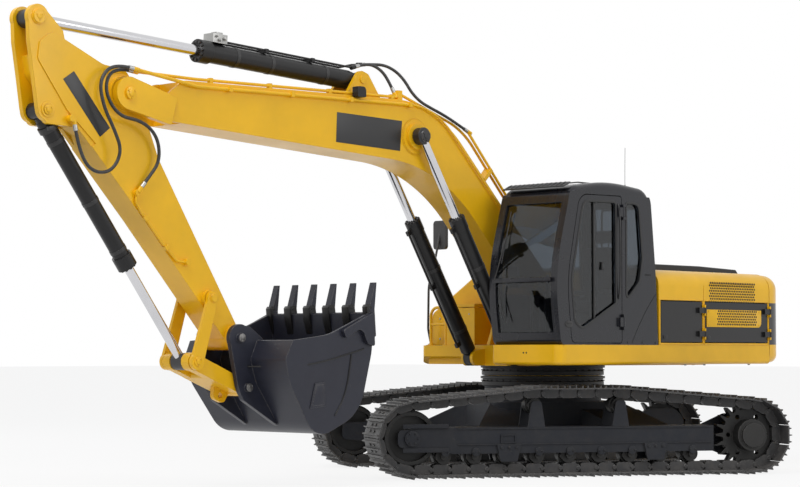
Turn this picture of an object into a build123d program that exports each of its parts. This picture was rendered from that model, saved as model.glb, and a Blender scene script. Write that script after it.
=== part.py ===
from build123d import *
from math import hypot, pi, radians, tan
import os

# Crawler excavator of the 26 t class, in millimetres.
# The origin is on the ground under the slew axis. +X is the way the boom points, +Y the cab side, +Z up.
# Everything on the undercarriage is drawn square to X, then turned by REST_SLEW about the slew axis.

os.makedirs("parts", exist_ok=True)

# ---------------------------------------------------------------- driving dimensions
# Fits
PIN_FIT = 0.5              # radial clearance of a pin in its bore and of a rod in its gland
FACE_FIT = 5.0             # side clearance between pieces that turn against each other
SEAM = 9.0                 # gap round a door, lid or hood
SEAT_FIT = 0.3             # clearance of a roller, wheel or bearing on what it runs on
SIDES = (("left", 1), ("right", -1))

# Undercarriage
REST_SLEW = -30.3          # degrees the undercarriage is turned from the upper structure at rest
TUMBLER_DISTANCE = 3780    # idler axle to sprocket axle
TRACK_END_RADIUS = 412     # axle to the tips of the shoes
TRACK_GAUGE = 2380
SHOE_WIDTH = 600
SHOE_DEPTH = 46            # shoe plate with its grousers
SHOE_COUNT = 49
SHOE_GROOVE = 24           # gap between two shoes
LINK_DEPTH = 94            # chain links on the shoes
LINK_INNER, LINK_OUTER = 50, 98     # the two rows of links, from the middle of the track
ROLLER_RADIUS = 82
ROLLER_COUNT = 9
FIRST_ROLLER, SECOND_ROLLER = 355, 685      # behind the idler's axle
LAST_ROLLER = 680          # ahead of the sprocket's axle, the ones between evenly spaced
CARRIER_RADIUS = 74
FRONT_CARRIER, REAR_CARRIER = 1350, 1495    # from the idler's and from the sprocket's axle
CARRIER_RISE = 742         # height of the carrier rollers' axles
TRACK_FRAME_TOP, TRACK_FRAME_BOTTOM = 520, 322
TRACK_FRAME_HALF = 165     # half its width
FRAME_FRONT_GAP, FRAME_REAR_GAP = 450, 440  # from the idler's and from the sprocket's axle
SKIRT_DROP = 72            # how far its side plates reach down beside the rollers
SKIRT_THICK = 22
FRONT_GUARD, REAR_GUARD = 1040, 1110        # guards that keep the chain under the rollers
GUARD_BOTTOM = 165
SPROCKET_TEETH = 21
AXLE_RADIUS = 36
HUB_RADIUS = 205
GROUND_CLEARANCE = 486
BEARING_RADIUS = 665
BEARING_BOTTOM, BEARING_SPLIT, BEARING_TOP = 930, 1040, 1150
CAR_BODY_TOP = 760

# Upper structure
HALF_WIDTH = 1355
DECK_TOP, DECK_PLATE = 1375, 30
SKIRT_BOTTOM, SKIRT_WALL = 1165, 60
HOUSE_FRONT, HOUSE_REAR = -345, -2415
HOUSE_TOP, HOUSE_WALL = 2197, 40
SHOULDER_RADIUS = 190
DOOR_SPLIT = -1155         # between the front and the rear side doors
DOOR_TOP, DOOR_THICK = 1862, 36
TAIL_RADIUS = 2815
TAIL_CORNER = 260
LIFT_HOLE = 64             # threaded holes for lifting the counterweight
COUNTERWEIGHT_TOP = 2185
COUNTERWEIGHT_ROUND = 170     # its upper edges
SKIRT_ROUND = 90
HOOD_FRONT, HOOD_REAR, HOOD_HALF, HOOD_TOP = -470, -2380, 960, 2275
HOOD_WALL = 24
SPINE_HALF = 420           # half the width of the frame's middle, where the boom stands
HINGE_PIN = 9
HINGE_STAND = 22           # a door's hinge axis, outside its wall
SIDE_HINGES = (1500, 1760)

# Cab
CAB_INNER, CAB_OUTER = 425, HALF_WIDTH
CAB_WALL = 60
DOOR_HINGE_X = 290

# Boom, in its own frame: u runs from the foot pin to the tip pin, v is square to it
FOOT = (262, 1980)
TIP = (6033, 3640)
BOOM_HALF = 225
BOOM_FOOT_RADIUS = 170
FORK_INNER, FORK_OUTER = 197, 262
FORK_RADIUS = 150
FORK_REAR = 5470           # rear edge of the fork's outer plates
BRACKET_THICK = 40
LUG_PIN = (3167, 1251)     # arm cylinder's foot on the boom
LUG_INNER, LUG_OUTER = 104, 144
BOOM_ROD_PIN = (2366, 920)

# Arm, in its own frame: a runs from the pivot to the bucket pin, n towards the front
BUCKET_PIN = (4685, 1433)
ARM_HALF = 150
ARM_BOSS_HALF = 190        # its bosses at the pivot, the levers and the bucket pin
EAR_INNER, EAR_OUTER = 86, 138
EAR_PIN = (-1003, 478)     # arm cylinder's rod
BUCKET_CYLINDER_FOOT = (-252, 812)
LEVER_PIVOT = (2102, 81)

# Bucket linkage, at rest in the upper structure's frame
ROD_LINK_PIN = (5193, 1210)
LINK_BUCKET_PIN = (4590, 963)
LEVER_INNER, LEVER_OUTER = 198, 234
LINK_HALF = 188
BUCKET_EAR_INNER, BUCKET_EAR_OUTER = 195, 245

# Bucket, in its own frame: x runs from the bucket pin to the teeth, y towards the shell
BUCKET_TIP = (3390, 1975)
BUCKET_HALF = 660          # at the heel
LIP_HALF = 735             # at the lip, where the sides spread
BUCKET_WALL = 26
TOOTH_COUNT = 6
TOOTH_WIDTH = 74

# Cylinders: how far a pipe stands off the tube, radius of the eyes, half widths of the foot's eye and
# of the rod's eye, tube radius, gland radius, reach of the gland from the foot, rod radius, and rod
# length from its eye
CYLINDER_SIZES = ("pipe", "eye", "foot", "half", "tube", "gland", "reach", "rod", "rod_length")
PIPE_RADIUS = 12
CYLINDER_SPREAD = 320      # boom cylinders from the middle
BOOM_CYLINDER_FOOT = (821, 1236)
BOOM_CYLINDER = dict(zip(CYLINDER_SIZES, (42, 86, 45, 45, 82, 88, 1735, 47, 1700)))
ARM_CYLINDER = dict(zip(CYLINDER_SIZES, (0, 80, 98, 78, 96, 112, 2075, 52, 2230)))
BUCKET_CYLINDER = dict(zip(CYLINDER_SIZES, (0, 78, 79, 76, 78, 94, 1690, 45, 1680)))
FOOT_PIN_RADIUS = 40
MAIN_PIN_RADIUS = 52
BUCKET_PIN_RADIUS = 45

# Pipes and hoses
HOSE_RADIUS = 16
SIDE_PIPE, TOP_PIPE, SMALL_PIPE = 17, 15, 10     # radii
PIPE_STAND = 8             # between a pipe and what it runs along


# ---------------------------------------------------------------- helpers
def towards(start, end):
    """A side plane at start, its local x towards end and its local z to the machine's right."""
    return Plane(
        origin=(start[0], 0, start[1]),
        x_dir=(end[0] - start[0], 0, end[1] - start[1]),
        z_dir=(0, -1, 0),
    )


SIDE = Plane.XZ
BOOM = towards(FOOT, TIP)
ARM = towards(TIP, BUCKET_PIN)
BUCKET = towards(BUCKET_PIN, BUCKET_TIP)


def world(plane, point):
    """The x and z of a point given in a side plane."""
    spot = plane.from_local_coords(Vector(point[0], point[1], 0))
    return spot.X, spot.Z


def local(plane, point):
    """A point of the machine's x and z, given in a side plane."""
    spot = plane.to_local_coords(Vector(point[0], 0, point[1]))
    return spot.X, spot.Y


def slab(plane, outline, y_from, y_to, mode=Mode.ADD):
    """Extrude an outline of (x, y, corner radius) rows, drawn in a side plane, from one Y to another."""
    with BuildSketch(plane.offset(-y_to)) as profile:
        with BuildLine():
            FilletPolyline(
                *[(x, y) for x, y, _ in outline], radius=[r for _, _, r in outline], close=True
            )
        make_face()
    extrude(profile.sketch, amount=y_to - y_from, mode=mode)


def disc(plane, centre, radius, y_from, y_to, mode=Mode.ADD):
    """A round boss, pin or bore across the machine, from one Y to another."""
    with BuildSketch(plane.offset(-y_to)) as round_face:
        with Locations(centre):
            Circle(radius)
    extrude(round_face.sketch, amount=y_to - y_from, mode=mode)


def block(low, high, mode=Mode.ADD):
    """A box between its lowest and highest corners."""
    with Locations(tuple((a + b) / 2 for a, b in zip(low, high))):
        Box(*[b - a for a, b in zip(low, high)], mode=mode)


def both(y_from, y_to):
    """The same stretch of Y on both sides of the middle."""
    return ((y_from, y_to), (-y_to, -y_from))


def save(part, name):
    part.label = name
    export_step(part, f"parts/{name}.step")


def save_turned(part, name):
    """Save a piece of the undercarriage, turned to its place at rest."""
    save(part.rotate(Axis.Z, REST_SLEW), name)


# ---------------------------------------------------------------- undercarriage
TRACK_DEPTH = SHOE_DEPTH + LINK_DEPTH
IDLER_X = TUMBLER_DISTANCE / 2
SPROCKET_X = -IDLER_X
ROLLER_PITCH = (TUMBLER_DISTANCE - SECOND_ROLLER - LAST_ROLLER) / (ROLLER_COUNT - 2)
ROLLER_X = (
    IDLER_X - FIRST_ROLLER,
    *[SPROCKET_X + LAST_ROLLER + i * ROLLER_PITCH for i in reversed(range(ROLLER_COUNT - 1))],
)
CARRIER_X = (IDLER_X - FRONT_CARRIER, SPROCKET_X + REAR_CARRIER)
GUARD_X = (IDLER_X - FRONT_GUARD, SPROCKET_X + REAR_GUARD)
TRACK_FRAME_FRONT = IDLER_X - FRAME_FRONT_GAP
TRACK_FRAME_REAR = SPROCKET_X + FRAME_REAR_GAP
WHEEL_RADIUS = TRACK_END_RADIUS - TRACK_DEPTH - SEAT_FIT
ROLLER_RISE = TRACK_DEPTH + ROLLER_RADIUS + SEAT_FIT


def track_outline(inset):
    """The track's closed line, the given distance inside the tips of its shoes."""
    with BuildSketch() as outline:
        with Locations((IDLER_X, TRACK_END_RADIUS), (SPROCKET_X, TRACK_END_RADIUS)):
            Circle(TRACK_END_RADIUS - inset)
        with Locations(*[(x, CARRIER_RISE) for x in CARRIER_X]):
            Circle(CARRIER_RADIUS + SEAT_FIT + TRACK_DEPTH - inset)
        make_hull()
    return outline.sketch


def track_part(middle):
    """One track as a fixed loop: a band of shoes with a groove between each two, on two rows of links."""
    groove_line = track_outline(0).wires()[0]
    grooves = [groove_line.location_at(i / SHOE_COUNT) for i in range(SHOE_COUNT)]
    with BuildPart() as track:
        with BuildSketch(SIDE.offset(-middle - SHOE_WIDTH / 2)):
            add(track_outline(0))
            add(track_outline(SHOE_DEPTH), mode=Mode.SUBTRACT)
            with Locations(*[Location(g.position, (0, 0, g.orientation.Z)) for g in grooves]):
                Rectangle(SHOE_GROOVE, SHOE_DEPTH, mode=Mode.SUBTRACT)
        extrude(amount=SHOE_WIDTH)
        for side in (1, -1):
            edge = middle + side * (LINK_INNER + LINK_OUTER) / 2 + (LINK_OUTER - LINK_INNER) / 2
            with BuildSketch(SIDE.offset(-edge)):
                add(track_outline(SHOE_DEPTH))
                add(track_outline(TRACK_DEPTH), mode=Mode.SUBTRACT)
            extrude(amount=LINK_OUTER - LINK_INNER)
    return track.part


def idler_part(middle):
    """Front idler: a tread on each row of links, a guide rim between them, and its axle."""
    with BuildPart() as idler:
        disc(SIDE, (IDLER_X, TRACK_END_RADIUS), WHEEL_RADIUS, middle - LINK_OUTER, middle + LINK_OUTER)
        rim = LINK_INNER - FACE_FIT
        disc(SIDE, (IDLER_X, TRACK_END_RADIUS), WHEEL_RADIUS + 22, middle - rim, middle + rim)
        for y_from, y_to in both(rim, LINK_OUTER):
            with BuildSketch(SIDE.offset(-middle - y_to)) as dish:
                with Locations((IDLER_X, TRACK_END_RADIUS)):
                    Circle(WHEEL_RADIUS - 36)
                    Circle(96, mode=Mode.SUBTRACT)
            extrude(dish.sketch, amount=y_to - y_from, mode=Mode.SUBTRACT)
        reach = TRACK_FRAME_HALF - SKIRT_THICK - SEAT_FIT
        disc(SIDE, (IDLER_X, TRACK_END_RADIUS), 62, middle - reach, middle + reach)
    return idler.part


def sprocket_part(middle, outward):
    """Drive sprocket between the rows of links, with the final drive's hub on its outer side."""
    root = WHEEL_RADIUS + 6
    tip = TRACK_END_RADIUS - SHOE_DEPTH - FACE_FIT
    half = LINK_INNER - FACE_FIT
    with BuildPart() as sprocket:
        with BuildSketch(SIDE.offset(-middle - half)):
            with Locations((SPROCKET_X, TRACK_END_RADIUS)):
                Circle(root)
                with PolarLocations((root + tip) / 2, SPROCKET_TEETH):
                    Trapezoid(48, tip - root + 8, 80, rotation=-90)
        extrude(amount=2 * half)
        with BuildSketch(SIDE.offset(-middle - half)):
            with Locations((SPROCKET_X, TRACK_END_RADIUS)):
                with PolarLocations(218, 6):
                    Circle(26)
        extrude(amount=2 * half, mode=Mode.SUBTRACT)
        hub = sorted((middle + outward * half, middle + outward * 190))
        disc(SIDE, (SPROCKET_X, TRACK_END_RADIUS), 168, *hub)
        cap = sorted((middle + outward * 190, middle + outward * 226))
        disc(SIDE, (SPROCKET_X, TRACK_END_RADIUS), 128, *cap)
        case = sorted((middle - outward * half, middle - outward * (TRACK_FRAME_HALF - SKIRT_THICK)))
        disc(SIDE, (SPROCKET_X, TRACK_END_RADIUS), HUB_RADIUS, *case)
    return sprocket.part


def rollers_part(middle, stations, rise, radius):
    """Flanged rollers with their axles, which end in the track frame's side plates."""
    reach = TRACK_FRAME_HALF - SKIRT_THICK - SEAT_FIT
    with BuildPart() as rollers:
        for x in stations:
            disc(SIDE, (x, rise), radius, middle - LINK_OUTER - 6, middle + LINK_OUTER + 6)
            flange = LINK_INNER - FACE_FIT
            disc(SIDE, (x, rise), radius + 16, middle - flange, middle + flange)
            disc(SIDE, (x, rise), AXLE_RADIUS, middle - reach, middle + reach)
    return rollers.part


def track_frame_part(middle, inward):
    """Box of a side frame with plates beside the rollers, the idler's fork and the carrier posts."""
    skirt_bottom = TRACK_FRAME_BOTTOM - SKIRT_DROP
    fork_front = IDLER_X + 150
    drive_rear = SPROCKET_X - 40
    with BuildPart() as frame:
        slab(
            SIDE,
            (
                (TRACK_FRAME_REAR, TRACK_FRAME_BOTTOM, 0),
                (TRACK_FRAME_FRONT, TRACK_FRAME_BOTTOM, 0),
                (TRACK_FRAME_FRONT, TRACK_FRAME_TOP, 0),
                (TRACK_FRAME_REAR, TRACK_FRAME_TOP, 0),
            ),
            middle - TRACK_FRAME_HALF,
            middle + TRACK_FRAME_HALF,
        )
        for y_from, y_to in both(TRACK_FRAME_HALF - SKIRT_THICK, TRACK_FRAME_HALF):
            slab(
                SIDE,
                (
                    (TRACK_FRAME_REAR, skirt_bottom, 20),
                    (TRACK_FRAME_FRONT, skirt_bottom, 20),
                    (fork_front, TRACK_END_RADIUS - 90, 60),
                    (fork_front, TRACK_END_RADIUS + 90, 60),
                    (TRACK_FRAME_FRONT, TRACK_FRAME_TOP, 0),
                    (TRACK_FRAME_REAR, TRACK_FRAME_TOP, 0),
                ),
                middle + y_from,
                middle + y_to,
            )
        skirt = TRACK_FRAME_HALF - SKIRT_THICK
        inner = sorted((middle + inward * skirt, middle + inward * TRACK_FRAME_HALF))
        slab(
            SIDE,
            (
                (TRACK_FRAME_REAR + 20, TRACK_FRAME_BOTTOM - 30, 0),
                (TRACK_FRAME_REAR + 20, TRACK_FRAME_TOP, 0),
                (SPROCKET_X + 190, TRACK_END_RADIUS + 225, 80),
                (drive_rear - 190, TRACK_END_RADIUS + 225, 190),
                (drive_rear - 190, TRACK_END_RADIUS - 225, 190),
                (SPROCKET_X + 190, TRACK_END_RADIUS - 225, 80),
            ),
            *inner,
        )
        for x in GUARD_X:
            for span in both(TRACK_FRAME_HALF - 1, TRACK_FRAME_HALF + 24):
                slab(
                    SIDE,
                    (
                        (x - 130, TRACK_FRAME_BOTTOM + 20, 0),
                        (x - 90, GUARD_BOTTOM, 10),
                        (x + 90, GUARD_BOTTOM, 10),
                        (x + 130, TRACK_FRAME_BOTTOM + 20, 0),
                    ),
                    middle + span[0],
                    middle + span[1],
                )
        for x in CARRIER_X:
            for y_from, y_to in both(skirt, TRACK_FRAME_HALF):
                slab(
                    SIDE,
                    (
                        (x - 95, TRACK_FRAME_TOP - 10, 0),
                        (x + 95, TRACK_FRAME_TOP - 10, 0),
                        (x + 52, CARRIER_RISE + 48, 30),
                        (x - 52, CARRIER_RISE + 48, 30),
                    ),
                    middle + y_from,
                    middle + y_to,
                )
    return frame.part


for side, sign in SIDES:
    middle = sign * TRACK_GAUGE / 2
    save_turned(track_part(middle), f"{side}_track")
    save_turned(track_frame_part(middle, -sign), f"{side}_track_frame")

with BuildPart() as idlers:
    for _, sign in SIDES:
        add(idler_part(sign * TRACK_GAUGE / 2))
save_turned(idlers.part, "front_idlers")

with BuildPart() as sprockets:
    for _, sign in SIDES:
        add(sprocket_part(sign * TRACK_GAUGE / 2, sign))
save_turned(sprockets.part, "drive_sprockets")

with BuildPart() as bottom_rollers:
    for _, sign in SIDES:
        add(rollers_part(sign * TRACK_GAUGE / 2, ROLLER_X, ROLLER_RISE, ROLLER_RADIUS))
save_turned(bottom_rollers.part, "bottom_rollers")

with BuildPart() as carrier_rollers:
    for _, sign in SIDES:
        add(rollers_part(sign * TRACK_GAUGE / 2, CARRIER_X, CARRIER_RISE, CARRIER_RADIUS))
save_turned(carrier_rollers.part, "carrier_rollers")

# Car body: a drum under the slew bearing on four legs that end on the side frames
LEG_FOOT = TRACK_GAUGE / 2 - TRACK_FRAME_HALF
LEG_X = 760
with BuildPart() as car_body:
    with BuildSketch(Plane.XY.offset(GROUND_CLEARANCE)):
        RectangleRounded(1500, 1240, 180)
    extrude(amount=CAR_BODY_TOP - GROUND_CLEARANCE)
    with BuildSketch(Plane.XY.offset(CAR_BODY_TOP)):
        Circle(BEARING_RADIUS - 20)
    extrude(amount=BEARING_BOTTOM - CAR_BODY_TOP)
    for x_side in (1, -1):
        for y_side in (1, -1):
            root = Plane((x_side * 430, y_side * 420, 625), x_dir=(1, 0, 0), z_dir=(0, y_side, 0))
            foot = Plane((x_side * LEG_X, y_side * LEG_FOOT, 460), x_dir=(1, 0, 0), z_dir=(0, y_side, 0))
            with BuildSketch(root):
                Rectangle(620, 270)
            with BuildSketch(foot):
                Rectangle(620, 120)
            loft()
    with BuildSketch(Plane.XY.offset(BEARING_BOTTOM)):
        Circle(BEARING_RADIUS)
    extrude(amount=BEARING_SPLIT - BEARING_BOTTOM - SEAT_FIT)
save_turned(car_body.part, "car_body")


# ---------------------------------------------------------------- upper structure
CAB_FRONT = 1295
DECK_FRONT = 700           # between the cab and the right-hand deck
RIGHT_DECK_FRONT = 660
LUG_SPAN = (CYLINDER_SPREAD - 45 - FACE_FIT - BRACKET_THICK, CYLINDER_SPREAD - 45 - FACE_FIT)
OUTER_LUG_SPAN = (CYLINDER_SPREAD + 45 + FACE_FIT, CYLINDER_SPREAD + 45 + FACE_FIT + 30)
BRACKET_SPAN = (BOOM_HALF + FACE_FIT, BOOM_HALF + FACE_FIT + BRACKET_THICK)


def deck_plan():
    """The deck seen from above: the cab's platform on the left, a shorter one on the right."""
    with BuildSketch() as plan:
        with BuildLine():
            FilletPolyline(
                (CAB_FRONT + 20, HALF_WIDTH),
                (HOUSE_REAR, HALF_WIDTH),
                (HOUSE_REAR, -HALF_WIDTH),
                (RIGHT_DECK_FRONT - 160, -HALF_WIDTH),
                (RIGHT_DECK_FRONT, -HALF_WIDTH + 160),
                (RIGHT_DECK_FRONT, -SPINE_HALF),
                (DECK_FRONT, -SPINE_HALF),
                (DECK_FRONT, CAB_INNER),
                (CAB_FRONT + 20, CAB_INNER),
                radius=[110, 0, 0, 40, 40, 0, 0, 0, 30],
                close=True,
            )
        make_face()
    return plan.sketch


with BuildPart() as upper_frame:
    with BuildSketch(Plane.XY.offset(SKIRT_BOTTOM)):
        add(deck_plan())
    extrude(amount=DECK_TOP - SKIRT_BOTTOM)
    fillet(edges().group_by(Axis.Z)[0].filter_by(lambda e: abs(e.center().Y) > HALF_WIDTH - 1), 36)
    # The front of the right-hand deck slopes back underneath
    slab(
        SIDE,
        (
            (RIGHT_DECK_FRONT - 230, SKIRT_BOTTOM - 10, 0),
            (RIGHT_DECK_FRONT + 10, SKIRT_BOTTOM - 10, 0),
            (RIGHT_DECK_FRONT + 10, SKIRT_BOTTOM + 90, 0),
        ),
        -HALF_WIDTH - 10,
        -SPINE_HALF,
        mode=Mode.SUBTRACT,
    )
    with BuildSketch(Plane.XY.offset(SKIRT_BOTTOM)) as inside:
        offset(deck_plan(), amount=-SKIRT_WALL, kind=Kind.INTERSECTION)
    extrude(inside.sketch, amount=DECK_TOP - DECK_PLATE - SKIRT_BOTTOM, mode=Mode.SUBTRACT)
    block((HOUSE_REAR, -SPINE_HALF, BEARING_TOP), (DECK_FRONT, SPINE_HALF, DECK_TOP - DECK_PLATE))
    with BuildSketch(Plane.XY.offset(BEARING_SPLIT + SEAT_FIT)):
        Circle(BEARING_RADIUS - 22)
    extrude(amount=BEARING_TOP + 40 - BEARING_SPLIT - SEAT_FIT)
    # Plates that carry the boom's foot
    for span in both(*BRACKET_SPAN):
        slab(
            SIDE,
            (
                (FOOT[0] - 580, DECK_TOP - 5, 0),
                (FOOT[0] - 540, DECK_TOP + 70, 60),
                (FOOT[0] - 150, FOOT[1] + 130, 150),
                (FOOT[0] + 150, FOOT[1] + 130, 150),
                (FOOT[0] + 170, FOOT[1] - 120, 100),
                (FOOT[0] + 370, DECK_TOP - 5, 0),
            ),
            *span,
        )
    disc(SIDE, FOOT, MAIN_PIN_RADIUS, -BRACKET_SPAN[1] - 22, BRACKET_SPAN[1] + 22)
    # Lugs for the feet of the boom cylinders
    for span in both(*LUG_SPAN) + both(*OUTER_LUG_SPAN):
        slab(
            SIDE,
            (
                (DECK_FRONT - 60, SKIRT_BOTTOM, 0),
                (BOOM_CYLINDER_FOOT[0], BOOM_CYLINDER_FOOT[1] - BOOM_CYLINDER["eye"], 0),
                (BOOM_CYLINDER_FOOT[0], BOOM_CYLINDER_FOOT[1] + BOOM_CYLINDER["eye"], 0),
                (DECK_FRONT - 60, DECK_TOP - DECK_PLATE, 0),
            ),
            *span,
        )
        disc(SIDE, BOOM_CYLINDER_FOOT, BOOM_CYLINDER["eye"], *span)
    for y_from, y_to in both(LUG_SPAN[0], OUTER_LUG_SPAN[1]):
        disc(SIDE, BOOM_CYLINDER_FOOT, FOOT_PIN_RADIUS, y_from, y_to)
save(upper_frame.part, "upper_frame")

with BuildPart() as counterweight:
    with BuildSketch(Plane.XY.offset(SKIRT_BOTTOM + 15)):
        with BuildLine():
            Polyline(
                (-TAIL_RADIUS + 120, HALF_WIDTH),
                (HOUSE_REAR - SEAM, HALF_WIDTH),
                (HOUSE_REAR - SEAM, -HALF_WIDTH),
                (-TAIL_RADIUS + 120, -HALF_WIDTH),
            )
            ThreePointArc(
                (-TAIL_RADIUS + 120, -HALF_WIDTH), (-TAIL_RADIUS, 0), (-TAIL_RADIUS + 120, HALF_WIDTH)
            )
        make_face()
        fillet(vertices().group_by(Axis.X)[0], TAIL_CORNER)
    extrude(amount=COUNTERWEIGHT_TOP - SKIRT_BOTTOM - 15)
    for end, round_over in ((-1, COUNTERWEIGHT_ROUND), (0, SKIRT_ROUND)):
        fillet(edges().group_by(Axis.Z)[end].filter_by(lambda e: e.center().X < HOUSE_REAR - 60), round_over)
    # Brackets that bolt it to the frame
    for y_from, y_to in both(SPINE_HALF - 120, SPINE_HALF - 40):
        block((HOUSE_REAR - SEAM - 1, y_from, SKIRT_BOTTOM + 30), (HOUSE_REAR, y_to, DECK_TOP - 60))
    # Lifting holes in the top
    with Locations(*[(HOUSE_REAR - 190, y, COUNTERWEIGHT_TOP) for y in (-560, 560)]):
        Hole(LIFT_HOLE / 2, depth=160)
save(counterweight.part, "counterweight")

with BuildPart() as engine_block:
    block((-2150, -650, DECK_TOP), (-1450, 520, 2040))
save(engine_block.part, "engine_block")

HOOD_HINGE = (HOOD_FRONT + 30, HOUSE_TOP + 26)
HOOD_HINGE_SPOTS = (-HOOD_HALF + 160, HOOD_HALF - 160)

# Housing behind the cab: side walls, shoulders, roof and front wall in one shell, open at the back
with BuildPart() as house:
    with BuildSketch(Plane.YZ.offset(HOUSE_REAR)):
        with BuildLine():
            FilletPolyline(
                (-HALF_WIDTH, DECK_TOP),
                (HALF_WIDTH, DECK_TOP),
                (HALF_WIDTH, HOUSE_TOP),
                (-HALF_WIDTH, HOUSE_TOP),
                radius=[0, 0, SHOULDER_RADIUS, SHOULDER_RADIUS],
                close=True,
            )
        make_face()
    extrude(amount=HOUSE_FRONT - HOUSE_REAR)
    with BuildSketch(Plane.YZ.offset(HOUSE_REAR)):
        with BuildLine():
            FilletPolyline(
                (-HALF_WIDTH + HOUSE_WALL, DECK_TOP),
                (HALF_WIDTH - HOUSE_WALL, DECK_TOP),
                (HALF_WIDTH - HOUSE_WALL, HOUSE_TOP - HOUSE_WALL),
                (-HALF_WIDTH + HOUSE_WALL, HOUSE_TOP - HOUSE_WALL),
                radius=[0, 0, SHOULDER_RADIUS - HOUSE_WALL, SHOULDER_RADIUS - HOUSE_WALL],
                close=True,
            )
        make_face()
    extrude(amount=HOUSE_FRONT - HOUSE_WALL - HOUSE_REAR, mode=Mode.SUBTRACT)
    # Door openings, and the engine opening in the roof
    for y_from, y_to in both(HALF_WIDTH - HOUSE_WALL - 5, HALF_WIDTH + 5):
        for x_from, x_to in ((HOUSE_REAR + 28, DOOR_SPLIT - 22), (DOOR_SPLIT + 22, HOUSE_FRONT - 28)):
            block((x_from, y_from, DECK_TOP + 24), (x_to, y_to, DOOR_TOP), mode=Mode.SUBTRACT)
    block(
        (HOOD_REAR + 70, -HOOD_HALF + 70, HOUSE_TOP - HOUSE_WALL - 5),
        (HOOD_FRONT - 320, HOOD_HALF - 70, HOUSE_TOP + 5),
        mode=Mode.SUBTRACT,
    )
    # Joint between the front and the rear panels, over the side doors and their shoulders
    for y_side in (1, -1):
        for low, high in (
            ((HALF_WIDTH - 5, DOOR_TOP), (HALF_WIDTH + 1, HOUSE_TOP + 1)),
            ((HOOD_HALF + 30, HOUSE_TOP - 5), (HALF_WIDTH - 5, HOUSE_TOP + 1)),
        ):
            y_from, y_to = sorted((y_side * low[0], y_side * high[0]))
            block((DOOR_SPLIT - 4, y_from, low[1]), (DOOR_SPLIT + 4, y_to, high[1]), mode=Mode.SUBTRACT)
    # Hinge pins of the four side doors, standing off the wall behind each door, and of the hood
    for y_side in (1, -1):
        for x in (DOOR_SPLIT, HOUSE_REAR + 6):
            for z in SIDE_HINGES:
                wall_y, pin_y = y_side * (HALF_WIDTH - 4), y_side * (HALF_WIDTH + HINGE_STAND)
                for z_from, z_to in ((z - 62, z - 34), (z + 34, z + 62)):
                    low, high = sorted((wall_y, pin_y))
                    block((x - 12, low, z_from), (x + 12, high, z_to))
                with Locations((x, pin_y, z)):
                    Cylinder(HINGE_PIN, 124)
    for y in HOOD_HINGE_SPOTS:
        for y_from, y_to in ((y - 62, y - 34), (y + 34, y + 62)):
            block((HOOD_HINGE[0] - 12, y_from, HOUSE_TOP - 4), (HOOD_HINGE[0] + 12, y_to, HOOD_HINGE[1] + 6))
        disc(SIDE, HOOD_HINGE, HINGE_PIN, y - 62, y + 62)
save(house.part, "house_panels")


def side_door(x_from, x_to, y_side):
    """A side door with two hinge knuckles that stand off its rear edge."""
    def span(inner, outer):
        return sorted((y_side * (HALF_WIDTH + inner), y_side * (HALF_WIDTH + outer)))

    plate, pad, strap = span(-DOOR_THICK, 0), span(-1, FACE_FIT), span(FACE_FIT, HINGE_STAND + 6)
    pin_x = x_from - 22
    with BuildPart() as door:
        block((x_from + SEAM, plate[0], DECK_TOP + 24 + SEAM), (x_to - SEAM, plate[1], DOOR_TOP - SEAM))
        for z in SIDE_HINGES:
            block((x_from + SEAM + 12, pad[0], z - 30), (x_from + 90, pad[1], z + 30))
            block((pin_x, strap[0], z - 30), (x_from + 90, strap[1], z + 30))
            with Locations((pin_x, y_side * (HALF_WIDTH + HINGE_STAND), z)):
                Cylinder(HINGE_PIN + 7, 60)
                Cylinder(HINGE_PIN + PIN_FIT, 70, mode=Mode.SUBTRACT)
    return door.part


for side, sign in SIDES:
    save(side_door(DOOR_SPLIT + 22, HOUSE_FRONT - 28, sign), f"{side}_front_door")
    save(side_door(HOUSE_REAR + 28, DOOR_SPLIT - 22, sign), f"{side}_rear_door")

with BuildPart() as engine_hood:
    slab(
        SIDE,
        (
            (HOOD_FRONT, HOUSE_TOP + SEAM, 0),
            (HOOD_FRONT, HOUSE_TOP + 30, 12),
            (HOOD_FRONT - 340, HOOD_TOP, 200),
            (HOOD_REAR + 760, HOOD_TOP, 200),
            (HOOD_REAR + 45, HOOD_TOP - 22, 20),
            (HOOD_REAR, HOUSE_TOP + SEAM, 0),
        ),
        -HOOD_HALF,
        HOOD_HALF,
    )
    fillet(edges().group_by(Axis.Z)[-1], 14)
    slab(
        SIDE,
        (
            (HOOD_FRONT - 150, HOUSE_TOP + SEAM - 1, 0),
            (HOOD_FRONT - 345, HOOD_TOP - HOOD_WALL, 0),
            (HOOD_REAR + 60, HOOD_TOP - HOOD_WALL - 22, 0),
            (HOOD_REAR + 30, HOUSE_TOP + SEAM - 1, 0),
        ),
        -HOOD_HALF + HOOD_WALL,
        HOOD_HALF - HOOD_WALL,
        mode=Mode.SUBTRACT,
    )
    for y in HOOD_HINGE_SPOTS:
        block((HOOD_FRONT - 40, y - 30, HOUSE_TOP + 14), (HOOD_HINGE[0], y + 30, HOUSE_TOP + 36))
        disc(SIDE, HOOD_HINGE, HINGE_PIN + 8, y - 30, y + 30)
        disc(SIDE, HOOD_HINGE, HINGE_PIN + PIN_FIT, y - 35, y + 35, mode=Mode.SUBTRACT)
save(engine_hood.part, "engine_hood")

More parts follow.
